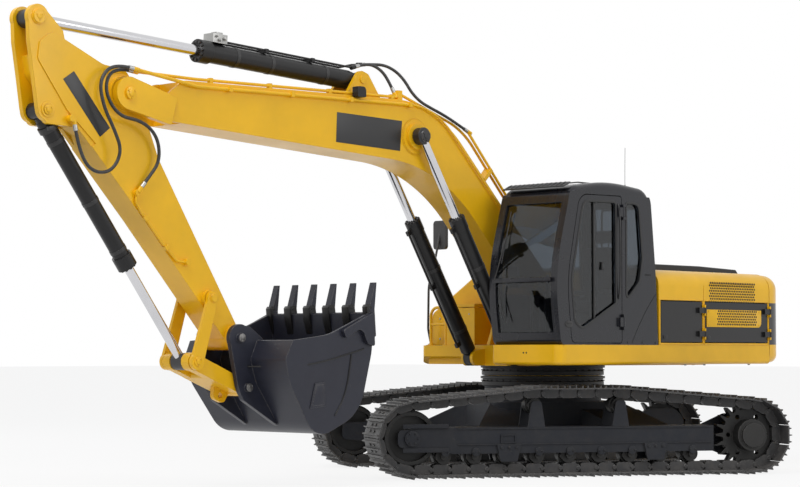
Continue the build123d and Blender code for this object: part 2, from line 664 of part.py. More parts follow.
# Fuel tank on the right, its top sloping down to the outside, and the tool box in front of it
TANK_FRONT = 385
TANK_TOP = 2135
TOOL_FRONT, TOOL_OUTER, TOOL_TOP = 640, 860, 1790
LID_THICK = 34
with BuildPart() as fuel_tank:
    with BuildSketch(Plane.YZ.offset(HOUSE_FRONT + SEAT_FIT)):
        with BuildLine():
            FilletPolyline(
                (-SPINE_HALF - 20, DECK_TOP),
                (-HALF_WIDTH + 20, DECK_TOP),
                (-HALF_WIDTH + 20, TANK_TOP - 400),
                (-700, TANK_TOP),
                (-SPINE_HALF - 20, TANK_TOP),
                radius=[0, 0, 90, 60, 30],
                close=True,
            )
        make_face()
    extrude(amount=TANK_FRONT - HOUSE_FRONT - SEAT_FIT)
    fillet(edges().group_by(Axis.X)[-1].filter_by(lambda e: e.center().Z > DECK_TOP + 20), 20)
save(fuel_tank.part, "fuel_tank")

LID_HINGE = (TANK_FRONT + 28, TOOL_TOP + 21)
LID_HINGE_SPOTS = (-TOOL_OUTER + 90, -SPINE_HALF - 110)
with BuildPart() as tool_box:
    block((TANK_FRONT, -TOOL_OUTER, DECK_TOP), (TOOL_FRONT, -SPINE_HALF - 20, TOOL_TOP))
    block(
        (TANK_FRONT + 30, -TOOL_OUTER + 30, DECK_TOP + 30),
        (TOOL_FRONT - 30, -SPINE_HALF - 50, TOOL_TOP + 5),
        mode=Mode.SUBTRACT,
    )
    for y in LID_HINGE_SPOTS:
        for y_from, y_to in ((y - 42, y - 24), (y + 24, y + 42)):
            block((LID_HINGE[0] - 12, y_from, TOOL_TOP - 4), (LID_HINGE[0] + 9, y_to, LID_HINGE[1] + 10))
        disc(SIDE, LID_HINGE, HINGE_PIN - 2, y - 42, y + 42)
save(tool_box.part, "tool_box")

with BuildPart() as tool_box_lid:
    block(
        (LID_HINGE[0] + 16, -TOOL_OUTER, TOOL_TOP + SEAM),
        (TOOL_FRONT, -SPINE_HALF - 20, TOOL_TOP + SEAM + LID_THICK),
    )
    for y in LID_HINGE_SPOTS:
        block((LID_HINGE[0], y - 18, LID_HINGE[1] - 8), (LID_HINGE[0] + 22, y + 18, LID_HINGE[1] + 8))
        disc(SIDE, LID_HINGE, HINGE_PIN + 5, y - 18, y + 18)
        disc(SIDE, LID_HINGE, HINGE_PIN - 2 + PIN_FIT, y - 20, y + 20, mode=Mode.SUBTRACT)
save(tool_box_lid.part, "tool_box_lid")

# Handrail hoop on the front of the right-hand deck, and the mirror on its pole
RAIL_RADIUS = 17
RAIL_X = RIGHT_DECK_FRONT - 60
RAIL_OUTER, RAIL_INNER, RAIL_TOP = -1140, -905, 1800
with BuildPart() as handrail:
    with BuildLine():
        FilletPolyline(
            (RAIL_X, RAIL_OUTER, DECK_TOP),
            (RAIL_X, RAIL_OUTER, RAIL_TOP),
            (RAIL_X, RAIL_INNER, RAIL_TOP),
            (RAIL_X, RAIL_INNER, DECK_TOP),
            radius=100,
        )
    with BuildSketch(Plane(origin=(RAIL_X, RAIL_OUTER, DECK_TOP), z_dir=(0, 0, 1))):
        Circle(RAIL_RADIUS)
    sweep()
    with Locations((RAIL_X, (RAIL_OUTER + RAIL_INNER) / 2, 1610)):
        Cylinder(RAIL_RADIUS - 4, RAIL_INNER - RAIL_OUTER, rotation=(90, 0, 0))
save(handrail.part, "handrail")

POLE_RADIUS = 13
POLE_X, POLE_Y = 440, -HALF_WIDTH + 65
MIRROR_MIDDLE = (POLE_X - 160, POLE_Y, 2640)
MIRROR_SIZE = (46, 190, 330)
with BuildPart() as mirror:
    with BuildLine():
        FilletPolyline(
            (POLE_X, POLE_Y, DECK_TOP + 4),
            (POLE_X + 50, POLE_Y, 1560),
            (POLE_X + 40, POLE_Y, 2060),
            (POLE_X - 80, POLE_Y, 2400),
            (POLE_X - 165, POLE_Y, 2720),
            radius=[200, 500, 900],
        )
    with BuildSketch(Plane(origin=(POLE_X, POLE_Y, DECK_TOP + 4), z_dir=(50, 0, 181))):
        Circle(POLE_RADIUS)
    sweep()
    with Locations((POLE_X, POLE_Y, DECK_TOP + 9)):
        Cylinder(34, 18)
    with Locations(MIRROR_MIDDLE):
        Box(*MIRROR_SIZE)
    fillet(edges().filter_by(Axis.X).filter_by(lambda e: abs(e.center().Z - 2640) > 100), 40)
save(mirror.part, "right_mirror")


# ---------------------------------------------------------------- cab
CAB_FLOOR_TOP = DECK_TOP + CAB_WALL
ROOF_SPLIT = 2962
CAB_INNER_WALL, CAB_OUTER_WALL = CAB_INNER + CAB_WALL, CAB_OUTER - CAB_WALL
CAB_MIDDLE = (CAB_INNER + CAB_OUTER) / 2
PANE_THICK = 7

CAB_SIDE = (               # x, z, corner radius
    (-330, DECK_TOP, 0),
    (CAB_FRONT, DECK_TOP, 70),
    (1392, 2080, 1800),
    (1125, 3020, 170),
    (480, 3105, 2500),
    (-200, 3040, 200),
    (-290, 2150, 2500),
)
CAB_DOOR = (
    (DOOR_HINGE_X + SEAM, DECK_TOP + 22, 30),
    (1120, DECK_TOP + 22, 60),
    (1190, 2050, 1500),
    (985, 2935, 150),
    (DOOR_HINGE_X + SEAM, 2945, 30),
)
DOOR_PANE = (
    (392, 1815, 40),
    (945, 1545, 90),
    (1070, 1610, 90),
    (1122, 2050, 1400),
    (926, 2872, 120),
    (392, 2882, 40),
)
QUARTER_PANE = (
    (214, 1850, 40),
    (-10, 2050, 200),
    (-60, 2300, 400),
    (0, 2882, 90),
    (214, 2882, 30),
)
RIGHT_PANE = (
    (-150, 1900, 60),
    (1215, 1900, 60),
    (1210, 2300, 700),
    (1020, 2882, 100),
    (-120, 2882, 60),
)
REAR_PANE = (CAB_INNER + 160, CAB_OUTER - 160, 2130, 2860)     # y from, y to, z from, z to
WINDSCREEN_SPLIT = 2045


def face_of(outline, amount=0):
    """The face inside an outline of (x, y, corner radius) rows, grown or shrunk by an amount."""
    with BuildSketch() as face:
        with BuildLine():
            FilletPolyline(
                *[(x, y) for x, y, _ in outline], radius=[r for _, _, r in outline], close=True
            )
        make_face()
        if amount:
            offset(amount=amount, mode=Mode.REPLACE)
    return face.sketch


def pane(outline, y_from, y_to, amount=0, mode=Mode.ADD):
    """A flat pane or opening in a side wall."""
    with BuildSketch(SIDE.offset(-y_to)) as glass:
        add(face_of(outline, amount))
    extrude(glass.sketch, amount=y_to - y_from, mode=mode)


def hoop(y_from, y_to, x_range, z_range, outer=0, inner=CAB_WALL, mode=Mode.ADD):
    """Part of the cab's wall that runs round under the floor, up the front, and over the roof."""
    with BuildSketch(SIDE.offset(-y_to)) as band:
        add(face_of(CAB_SIDE, -outer))
        add(face_of(CAB_SIDE, -inner), mode=Mode.SUBTRACT)
        with Locations((sum(x_range) / 2, sum(z_range) / 2)):
            Rectangle(x_range[1] - x_range[0], z_range[1] - z_range[0], mode=Mode.INTERSECT)
    extrude(band.sketch, amount=y_to - y_from, mode=mode)


FRONT_HALF, REAR_HALF = (700, 1500), (-500, 200)
WALL_HEIGHT = (CAB_FLOOR_TOP, ROOF_SPLIT)

with BuildPart() as cab_floor:
    hoop(CAB_INNER_WALL, CAB_OUTER_WALL, (-500, 1500), (DECK_TOP, CAB_FLOOR_TOP))
save(cab_floor.part, "cab_floor")

with BuildPart() as cab_front:
    hoop(CAB_INNER_WALL, CAB_OUTER_WALL, FRONT_HALF, WALL_HEIGHT)
    for z_range in ((1500, WINDSCREEN_SPLIT - 18), (WINDSCREEN_SPLIT + 18, 2850)):
        hoop(
            CAB_INNER_WALL + 26, CAB_OUTER_WALL - 26, FRONT_HALF, z_range, -40, CAB_WALL + 40, Mode.SUBTRACT
        )
save(cab_front.part, "cab_front")

with BuildPart() as windscreen:
    for z_range in ((1500, WINDSCREEN_SPLIT - 18), (WINDSCREEN_SPLIT + 18, 2850)):
        low, high = z_range
        hoop(
            CAB_INNER_WALL + 26 + SEAT_FIT,
            CAB_OUTER_WALL - 26 - SEAT_FIT,
            FRONT_HALF,
            (low + SEAT_FIT, high - SEAT_FIT),
            20,
            20 + PANE_THICK,
        )
save(windscreen.part, "windscreen")

with BuildPart() as cab_rear:
    hoop(CAB_INNER_WALL, CAB_OUTER_WALL, REAR_HALF, WALL_HEIGHT)
    y_from, y_to, z_from, z_to = REAR_PANE
    block((-500, y_from, z_from), (0, y_to, z_to), mode=Mode.SUBTRACT)
save(cab_rear.part, "cab_rear_wall")


def cab_side_wall(y_from, y_to):
    with BuildPart() as wall:
        pane(CAB_SIDE, y_from, y_to)
        block((-500, y_from - 1, ROOF_SPLIT), (1500, y_to + 1, 3300), mode=Mode.SUBTRACT)
    return wall.part


HINGE_HEIGHTS = (1615, 2780)
DOOR_HINGE_Y = CAB_OUTER + HINGE_STAND

with BuildPart() as cab_left:
    add(cab_side_wall(CAB_OUTER_WALL, CAB_OUTER))
    pane(CAB_DOOR, CAB_OUTER_WALL - 1, CAB_OUTER + 1, SEAM, mode=Mode.SUBTRACT)
    pane(QUARTER_PANE, CAB_OUTER_WALL - 1, CAB_OUTER + 1, mode=Mode.SUBTRACT)
    for z in HINGE_HEIGHTS:
        for z_from, z_to in ((z - 82, z - 54), (z + 54, z + 82)):
            block((DOOR_HINGE_X - 40, CAB_OUTER - 4, z_from), (DOOR_HINGE_X - 4, DOOR_HINGE_Y + 10, z_to))
            block((DOOR_HINGE_X - 10, CAB_OUTER + 5, z_from), (DOOR_HINGE_X + 12, DOOR_HINGE_Y + 10, z_to))
        with Locations((DOOR_HINGE_X, DOOR_HINGE_Y, z)):
            Cylinder(HINGE_PIN, 164)
save(cab_left.part, "cab_left_side")

with BuildPart() as cab_right:
    add(cab_side_wall(CAB_INNER, CAB_INNER_WALL))
    pane(RIGHT_PANE, CAB_INNER - 1, CAB_INNER_WALL + 1, mode=Mode.SUBTRACT)
save(cab_right.part, "cab_right_side")

with BuildPart() as cab_roof:
    pane(CAB_SIDE, CAB_INNER, CAB_OUTER)
    block((-500, CAB_INNER - 1, DECK_TOP - 1), (1500, CAB_OUTER + 1, ROOF_SPLIT), mode=Mode.SUBTRACT)
    roof_edges = edges().filter_by(lambda e: e.center().Z > ROOF_SPLIT + 8)
    fillet(roof_edges.filter_by(lambda e: abs(e.center().Y - CAB_MIDDLE) > 440), 60)
    pane(CAB_SIDE, CAB_INNER_WALL, CAB_OUTER_WALL, -CAB_WALL, mode=Mode.SUBTRACT)
save(cab_roof.part, "cab_roof")

with BuildPart() as cab_door:
    pane(CAB_DOOR, CAB_OUTER_WALL, CAB_OUTER)
    pane(DOOR_PANE, CAB_OUTER_WALL - 1, CAB_OUTER + 1, mode=Mode.SUBTRACT)
    for z in HINGE_HEIGHTS:
        block((DOOR_HINGE_X, CAB_OUTER - 2, z - 48), (DOOR_HINGE_X + 66, DOOR_HINGE_Y + 8, z + 48))
        with Locations((DOOR_HINGE_X, DOOR_HINGE_Y, z)):
            Cylinder(HINGE_PIN + 8, 96)
            Cylinder(HINGE_PIN + PIN_FIT, 110, mode=Mode.SUBTRACT)
save(cab_door.part, "cab_door")

PANE_LEFT = (CAB_OUTER - 30, CAB_OUTER - 30 + PANE_THICK)
with BuildPart() as door_glass:
    pane(DOOR_PANE, *PANE_LEFT, -SEAT_FIT)
save(door_glass.part, "door_glass")

with BuildPart() as cab_glass:
    pane(QUARTER_PANE, *PANE_LEFT, -SEAT_FIT)
    pane(RIGHT_PANE, CAB_INNER + 30 - PANE_THICK, CAB_INNER + 30, -SEAT_FIT)
    y_from, y_to, z_from, z_to = REAR_PANE
    hoop(
        y_from + SEAT_FIT,
        y_to - SEAT_FIT,
        REAR_HALF,
        (z_from + SEAT_FIT, z_to - SEAT_FIT),
        24,
        24 + PANE_THICK,
    )
save(cab_glass.part, "cab_glass")

SEAT_X, SEAT_TOP = 300, 1850
with BuildPart() as operator_seat:
    block((SEAT_X - 190, CAB_MIDDLE - 170, CAB_FLOOR_TOP), (SEAT_X + 170, CAB_MIDDLE + 170, SEAT_TOP - 120))
    slab(
        SIDE,
        (
            (SEAT_X - 250, SEAT_TOP - 130, 40),
            (SEAT_X + 260, SEAT_TOP - 130, 50),
            (SEAT_X + 260, SEAT_TOP, 50),
            (SEAT_X - 110, SEAT_TOP - 20, 30),
            (SEAT_X - 230, SEAT_TOP + 640, 50),
            (SEAT_X - 340, SEAT_TOP + 620, 50),
        ),
        CAB_MIDDLE - 240,
        CAB_MIDDLE + 240,
    )
save(operator_seat.part, "operator_seat")

with BuildPart() as consoles:
    for y_side in (1, -1):
        y = CAB_MIDDLE + y_side * 330
        block((SEAT_X - 170, y - 70, CAB_FLOOR_TOP), (SEAT_X + 330, y + 70, SEAT_TOP + 60))
        with Locations((SEAT_X + 270, y, SEAT_TOP + 130)):
            Cylinder(20, 150)
    for y_side in (1, -1):
        y = CAB_MIDDLE + y_side * 90
        block((1060, y - 60, CAB_FLOOR_TOP), (1180, y + 60, CAB_FLOOR_TOP + 40))
        with Locations((1110, y, CAB_FLOOR_TOP + 260)):
            Cylinder(12, 450)
save(consoles.part, "cab_controls")


# ---------------------------------------------------------------- boom
BOOM_LENGTH = hypot(TIP[0] - FOOT[0], TIP[1] - FOOT[1])
BOOM_OUTLINE = (           # u, v, corner radius
    (-95, 140, 0),
    (2187, 1370, 1400),
    (5430, 352, 120),
    (5560, 175, 120),
    (5640, -108, 90),
    (1904, 747, 1950),
    (620, 28, 600),
    (60, -158, 0),
)
with BuildPart() as boom:
    slab(BOOM, BOOM_OUTLINE, -BOOM_HALF, BOOM_HALF)
    disc(BOOM, (0, 0), BOOM_FOOT_RADIUS, -BOOM_HALF, BOOM_HALF)
    disc(BOOM, (0, 0), MAIN_PIN_RADIUS + PIN_FIT, -BOOM_HALF - 1, BOOM_HALF + 1, mode=Mode.SUBTRACT)
    # Slot for the arm's boss between the ears of the fork
    slab(
        BOOM,
        ((5330, -400, 0), (5330, 250, 0), (5460, 600, 0), (7000, 600, 0), (7000, -400, 0)),
        -FORK_INNER,
        FORK_INNER,
        mode=Mode.SUBTRACT,
    )
    for span in both(FORK_INNER, FORK_OUTER):
        slab(
            BOOM,
            (
                (FORK_REAR, -FORK_RADIUS + 40, 20),
                (BOOM_LENGTH, -FORK_RADIUS, 0),
                (BOOM_LENGTH, FORK_RADIUS, 0),
                (FORK_REAR, FORK_RADIUS + 10, 20),
            ),
            *span,
        )
        disc(BOOM, (BOOM_LENGTH, 0), FORK_RADIUS, *span)
    disc(BOOM, (BOOM_LENGTH, 0), MAIN_PIN_RADIUS, -FORK_OUTER - 14, FORK_OUTER + 14)
    # Bosses for the rods of the boom cylinders
    for span in both(BOOM_HALF - 5, CYLINDER_SPREAD - BOOM_CYLINDER["half"] - FACE_FIT):
        disc(BOOM, BOOM_ROD_PIN, 132, *span)
    for span in both(BOOM_HALF - 5, BOOM_HALF + 12):
        disc(BOOM, BOOM_ROD_PIN, 178, *span)
    # Lugs for the arm cylinder's foot
    for span in both(LUG_INNER, LUG_OUTER):
        slab(
            BOOM,
            (
                (LUG_PIN[0] - 360, LUG_PIN[1] - 140, 0),
                (LUG_PIN[0] - 60, LUG_PIN[1] + 84, 60),
                (LUG_PIN[0] + 70, LUG_PIN[1] + 84, 80),
                (LUG_PIN[0] + 190, LUG_PIN[1] - 280, 0),
            ),
            *span,
        )
    disc(BOOM, LUG_PIN, FOOT_PIN_RADIUS, -LUG_OUTER - 12, LUG_OUTER + 12)
save(boom.part, "boom")


# ---------------------------------------------------------------- cylinders
def barrel(plane, size, middle=0):
    """A cylinder's tube with its foot eye at the plane's origin and its gland out along x."""
    bore_start = size["eye"] + 90
    with BuildPart() as tube:
        disc(plane, (0, 0), size["eye"], middle - size["foot"], middle + size["foot"])
        foot = plane.from_local_coords(Vector(0, 0, -middle))
        axis = Plane(foot, x_dir=-plane.y_dir, z_dir=plane.x_dir)
        with BuildSketch(axis.offset(size["eye"] - 30)):
            Circle(min(size["foot"], size["tube"]) * 0.92)
        extrude(amount=60)
        with BuildSketch(axis.offset(size["eye"] + 16)):
            Circle(size["tube"])
        extrude(amount=size["reach"] - size["eye"] - 16)
        with BuildSketch(axis.offset(size["reach"] - 130)):
            Circle(size["gland"])
        extrude(amount=130)
        with BuildSketch(axis.offset(bore_start)):
            Circle(size["rod"] + PIN_FIT)
        extrude(amount=size["reach"] - bore_start + 1, mode=Mode.SUBTRACT)
        bore = (middle - size["foot"] - 1, middle + size["foot"] + 1)
        disc(plane, (0, 0), FOOT_PIN_RADIUS + PIN_FIT, *bore, mode=Mode.SUBTRACT)
        # The oil pipe that runs beside the tube from its foot to its gland
        if size["pipe"]:
            port, gland = size["eye"] + 130, size["reach"] - 60
            stand = size["tube"] + size["pipe"]
            with BuildSketch(axis.offset(port)) as pipe:
                with Locations((stand, 0)):
                    Circle(PIPE_RADIUS)
            extrude(pipe.sketch, amount=gland - port)
            for start in (port, (port + gland) / 2, gland - 50):
                with BuildSketch(axis.offset(start)) as lug:
                    with Locations((stand / 2 + size["tube"] / 2, 0)):
                        Rectangle(stand - size["tube"] + 3 * PIPE_RADIUS, 3 * PIPE_RADIUS)
                extrude(lug.sketch, amount=50)
    return tube.part


def rod(plane, size, distance, middle=0):
    """A cylinder's rod, its eye the given distance along x from the foot of the cylinder."""
    with BuildPart() as piston_rod:
        disc(plane, (distance, 0), size["eye"], middle - size["half"], middle + size["half"])
        axis = Plane(origin=plane.from_local_coords(Vector(0, 0, -middle)), z_dir=plane.x_dir)
        with BuildSketch(axis.offset(distance - size["rod_length"])):
            Circle(size["rod"])
        extrude(amount=size["rod_length"] - size["eye"] + 12)
    return piston_rod.part


BOOM_ROD_EYE = world(BOOM, BOOM_ROD_PIN)
BOOM_CYLINDER_PLANE = towards(BOOM_CYLINDER_FOOT, BOOM_ROD_EYE)
BOOM_CYLINDER_REACH = hypot(
    BOOM_ROD_EYE[0] - BOOM_CYLINDER_FOOT[0], BOOM_ROD_EYE[1] - BOOM_CYLINDER_FOOT[1]
)
with BuildPart() as boom_barrels:
    for _, sign in SIDES:
        add(barrel(BOOM_CYLINDER_PLANE, BOOM_CYLINDER, sign * CYLINDER_SPREAD))
save(boom_barrels.part, "boom_cylinder_barrels")

with BuildPart() as boom_rods:
    for _, sign in SIDES:
        middle = sign * CYLINDER_SPREAD
        add(rod(BOOM_CYLINDER_PLANE, BOOM_CYLINDER, BOOM_CYLINDER_REACH, middle))
        face = middle + sign * BOOM_CYLINDER["half"]
        disc(BOOM, BOOM_ROD_PIN, 62, *sorted((face - sign, face + sign * 22)))
save(boom_rods.part, "boom_cylinder_rods")

ARM_CYLINDER_FOOT = world(BOOM, LUG_PIN)
ARM_ROD_EYE = world(ARM, EAR_PIN)
ARM_CYLINDER_PLANE = towards(ARM_CYLINDER_FOOT, ARM_ROD_EYE)
ARM_CYLINDER_REACH = hypot(ARM_ROD_EYE[0] - ARM_CYLINDER_FOOT[0], ARM_ROD_EYE[1] - ARM_CYLINDER_FOOT[1])
save(barrel(ARM_CYLINDER_PLANE, ARM_CYLINDER), "arm_cylinder_barrel")
save(rod(ARM_CYLINDER_PLANE, ARM_CYLINDER, ARM_CYLINDER_REACH), "arm_cylinder_rod")

BUCKET_FOOT = world(ARM, BUCKET_CYLINDER_FOOT)
BUCKET_CYLINDER_PLANE = towards(BUCKET_FOOT, ROD_LINK_PIN)
BUCKET_CYLINDER_REACH = hypot(ROD_LINK_PIN[0] - BUCKET_FOOT[0], ROD_LINK_PIN[1] - BUCKET_FOOT[1])
save(barrel(BUCKET_CYLINDER_PLANE, BUCKET_CYLINDER), "bucket_cylinder_barrel")
save(rod(BUCKET_CYLINDER_PLANE, BUCKET_CYLINDER, BUCKET_CYLINDER_REACH), "bucket_cylinder_rod")


# ---------------------------------------------------------------- arm
ARM_LENGTH = hypot(BUCKET_PIN[0] - TIP[0], BUCKET_PIN[1] - TIP[1])
ARM_OUTLINE = (            # a, n, corner radius
    (-835, 420, 0),
    (-330, 60, 200),
    (-170, -150, 120),
    (170, -150, 200),
    (700, -66, 400),
    (ARM_LENGTH - 60, -92, 60),
    (ARM_LENGTH + 40, -92, 60),
    (ARM_LENGTH + 60, 90, 80),
    (ARM_LENGTH - 60, 105, 60),
    (1100, 372, 2500),
    (-150, 640, 160),
    (-560, 725, 120),
    (-800, 640, 0),
)
with BuildPart() as arm:
    slab(ARM, ARM_OUTLINE, -ARM_HALF, ARM_HALF)
    # The knuckle narrows to the two pairs of ears
    for span in both(EAR_OUTER, ARM_HALF + 1):
        slab(
            ARM,
            (
                (-1200, 900, 0),
                (-1200, 300, 0),
                (-800, 300, 0),
                (-840, 560, 40),
                (-690, 680, 60),
                (-150, 628, 100),
                (250, 500, 0),
                (250, 900, 0),
            ),
            *span,
            mode=Mode.SUBTRACT,
        )
    for spot, radius in (((0, 0), 160), (LEVER_PIVOT, 78), ((ARM_LENGTH, 0), 118)):
        disc(ARM, spot, radius, -ARM_BOSS_HALF, ARM_BOSS_HALF)
    for span in both(EAR_INNER, EAR_OUTER):
        slab(
            ARM,
            (
                (-780, 300, 0),
                (-1066, 385, 0),
                (-1090, 548, 60),
                (-870, 668, 60),
                (-600, 776, 60),
                (-300, 900, 90),
                (-150, 880, 60),
                (60, 560, 0),
            ),
            *span,
        )
        disc(ARM, EAR_PIN, 112, *span)
        disc(ARM, BUCKET_CYLINDER_FOOT, 98, *span)
    # Pockets where the eyes of the two cylinders lie
    slab(
        ARM,
        ((-1300, 200, 0), (-760, 200, 0), (-690, 440, 120), (-760, 900, 0), (-1300, 900, 0)),
        -EAR_INNER,
        EAR_INNER,
        mode=Mode.SUBTRACT,
    )
    slab(
        ARM,
        ((-430, 1100, 0), (-430, 720, 60), (-200, 700, 60), (120, 560, 0), (700, 560, 0), (700, 1100, 0)),
        -EAR_INNER,
        EAR_INNER,
        mode=Mode.SUBTRACT,
    )
    bore = (-ARM_BOSS_HALF - 1, ARM_BOSS_HALF + 1)
    disc(ARM, (0, 0), MAIN_PIN_RADIUS + PIN_FIT, *bore, mode=Mode.SUBTRACT)
    disc(ARM, (ARM_LENGTH, 0), BUCKET_PIN_RADIUS + PIN_FIT, *bore, mode=Mode.SUBTRACT)
    disc(ARM, BUCKET_CYLINDER_FOOT, FOOT_PIN_RADIUS, -EAR_OUTER - 12, EAR_OUTER + 12)
    for span in both(EAR_OUTER - 5, EAR_OUTER + 22):
        disc(ARM, EAR_PIN, 60, *span)
    disc(ARM, LEVER_PIVOT, 36, -LEVER_OUTER - 16, LEVER_OUTER + 16)
save(arm.part, "arm")

LEVER_TOP = world(ARM, LEVER_PIVOT)
LEVER = towards(LEVER_TOP, ROD_LINK_PIN)
LEVER_LENGTH = hypot(ROD_LINK_PIN[0] - LEVER_TOP[0], ROD_LINK_PIN[1] - LEVER_TOP[1])
with BuildPart() as levers:
    for span in both(LEVER_INNER, LEVER_OUTER):
        slab(
            LEVER,
            ((0, -58, 0), (LEVER_LENGTH, -70, 0), (LEVER_LENGTH, 70, 0), (0, 58, 0)),
            *span,
        )
        disc(LEVER, (0, 0), 66, *span)
        disc(LEVER, (LEVER_LENGTH, 0), 80, *span)
        disc(LEVER, (0, 0), 36 + PIN_FIT, span[0] - 1, span[1] + 1, mode=Mode.SUBTRACT)
save(levers.part, "bucket_levers")

LINK = towards(LINK_BUCKET_PIN, ROD_LINK_PIN)
LINK_LENGTH = hypot(ROD_LINK_PIN[0] - LINK_BUCKET_PIN[0], ROD_LINK_PIN[1] - LINK_BUCKET_PIN[1])
LIFT_EYE = (110, -128)
LIFT_EYE_RADIUS = 26
with BuildPart() as link:
    disc(LINK, (0, 0), 84, -LINK_HALF, LINK_HALF)
    for span in both(BUCKET_CYLINDER["half"] + 9, LINK_HALF):
        disc(LINK, (LINK_LENGTH, 0), 84, *span)
        slab(LINK, ((0, -70, 0), (LINK_LENGTH, -76, 0), (LINK_LENGTH, 76, 0), (0, 70, 0)), *span)
    slab(
        LINK,
        ((0, -70, 0), (LINK_LENGTH - 200, -76, 40), (LINK_LENGTH - 200, 76, 40), (0, 70, 0)),
        -LINK_HALF,
        LINK_HALF,
    )
    slab(LINK, ((20, -60, 0), (40, -185, 50), (180, -185, 50), (220, -60, 0)), -24, 24)
    disc(LINK, LIFT_EYE, LIFT_EYE_RADIUS, -25, 25, mode=Mode.SUBTRACT)
    disc(LINK, (0, 0), FOOT_PIN_RADIUS + PIN_FIT, -LINK_HALF - 1, LINK_HALF + 1, mode=Mode.SUBTRACT)
save(link.part, "bucket_link")


# ---------------------------------------------------------------- bucket
LIP, SHELL_FRONT, BACK = (1262, 250), (1165, 600), (190, 105)
SHELL_BACK = (45, 235)
OPEN_REACH = 230           # how far the hollow is cut past the lip and the back
HEEL_DEPTH = 1128
CUTTER_THICK = 40


def past(start, end, reach):
    """The point that lies so far past the end of a line."""
    stretch = 1 + reach / hypot(end[0] - start[0], end[1] - start[1])
    return start[0] + (end[0] - start[0]) * stretch, start[1] + (end[1] - start[1]) * stretch


def bucket_outline(lip, back, *open_edge):
    """The shell from its lip round the heel to its back, closed along the open side."""
    return (
        (*lip, 0),
        (*SHELL_FRONT, 500),
        (810, HEEL_DEPTH, 420),
        (165, HEEL_DEPTH, 270),
        (20, 460, 500),
        (*SHELL_BACK, 60),
        (*back, 0),
        *open_edge,
    )



def side_of_bucket(sign, out):
    """The plane of a side plate's outer face, moved out by so much. Its normal points outwards."""
    lip_x, lip_z = world(BUCKET, LIP)
    heel_x, heel_z = world(BUCKET, (LIP[0], HEEL_DEPTH))
    down = Vector(heel_x - lip_x, sign * (BUCKET_HALF - LIP_HALF), heel_z - lip_z)
    normal = Vector(BUCKET.x_dir.X, 0, BUCKET.x_dir.Z).cross(down)
    if normal.Y * sign < 0:
        normal = -normal
    return Plane(origin=(lip_x, sign * LIP_HALF, lip_z), z_dir=normal).offset(out)


def spread_body(profile, out):
    """A sketch in the bucket's side plane, extruded across it and cut off by both spread sides."""
    with BuildPart() as body:
        extrude(profile, amount=2 * LIP_HALF + 400)
        for _, sign in SIDES:
            split(bisect_by=side_of_bucket(sign, out), keep=Keep.BOTTOM)
    return body.part


ACROSS = BUCKET.offset(-LIP_HALF - 200)
with BuildSketch(ACROSS) as bucket_profile:
    add(face_of(bucket_outline(LIP, BACK, (650, 238, 600))))
with BuildSketch(ACROSS) as bucket_hollow:
    open_lip, open_back = past(SHELL_FRONT, LIP, OPEN_REACH), past(SHELL_BACK, BACK, OPEN_REACH)
    add(face_of(bucket_outline(open_lip, open_back), -BUCKET_WALL))
with BuildPart() as bucket:
    add(spread_body(bucket_profile.sketch, 0))
    add(spread_body(bucket_hollow.sketch, -BUCKET_WALL), mode=Mode.SUBTRACT)
    # Ears: a pair of plates from the bucket pin over the link's pin, tapering to a point on the shell
    pin_2 = local(BUCKET, LINK_BUCKET_PIN)
    for span in both(BUCKET_EAR_INNER, BUCKET_EAR_OUTER):
        slab(
            BUCKET,
            (
                (0, -130, 0),
                (150, -60, 60),
                (262, 118, 0),
                (60, 240, 0),
                (42, 470, 0),
                (120, 960, 0),
                (pin_2[0] - 95, pin_2[1] + 90, 60),
                (pin_2[0] - 105, pin_2[1] - 60, 60),
                (-128, 0, 60),
            ),
            *span,
        )
        disc(BUCKET, (0, 0), 130, *span)
        disc(BUCKET, pin_2, 105, *span)
    disc(BUCKET, (0, 0), BUCKET_PIN_RADIUS, -BUCKET_EAR_OUTER - 30, BUCKET_EAR_OUTER + 30)
    disc(BUCKET, pin_2, FOOT_PIN_RADIUS, -BUCKET_EAR_OUTER - 26, BUCKET_EAR_OUTER + 26)
save(bucket.part, "bucket")

LIP_LENGTH = hypot(SHELL_FRONT[0] - LIP[0], SHELL_FRONT[1] - LIP[1])


def on_lip(along, out):
    """A point by the lip's outer face: so far up from its edge, and so far out from the face."""
    along_x, along_y = (SHELL_FRONT[0] - LIP[0]) / LIP_LENGTH, (SHELL_FRONT[1] - LIP[1]) / LIP_LENGTH
    return LIP[0] + along * along_x + out * along_y, LIP[1] + along * along_y - out * along_x


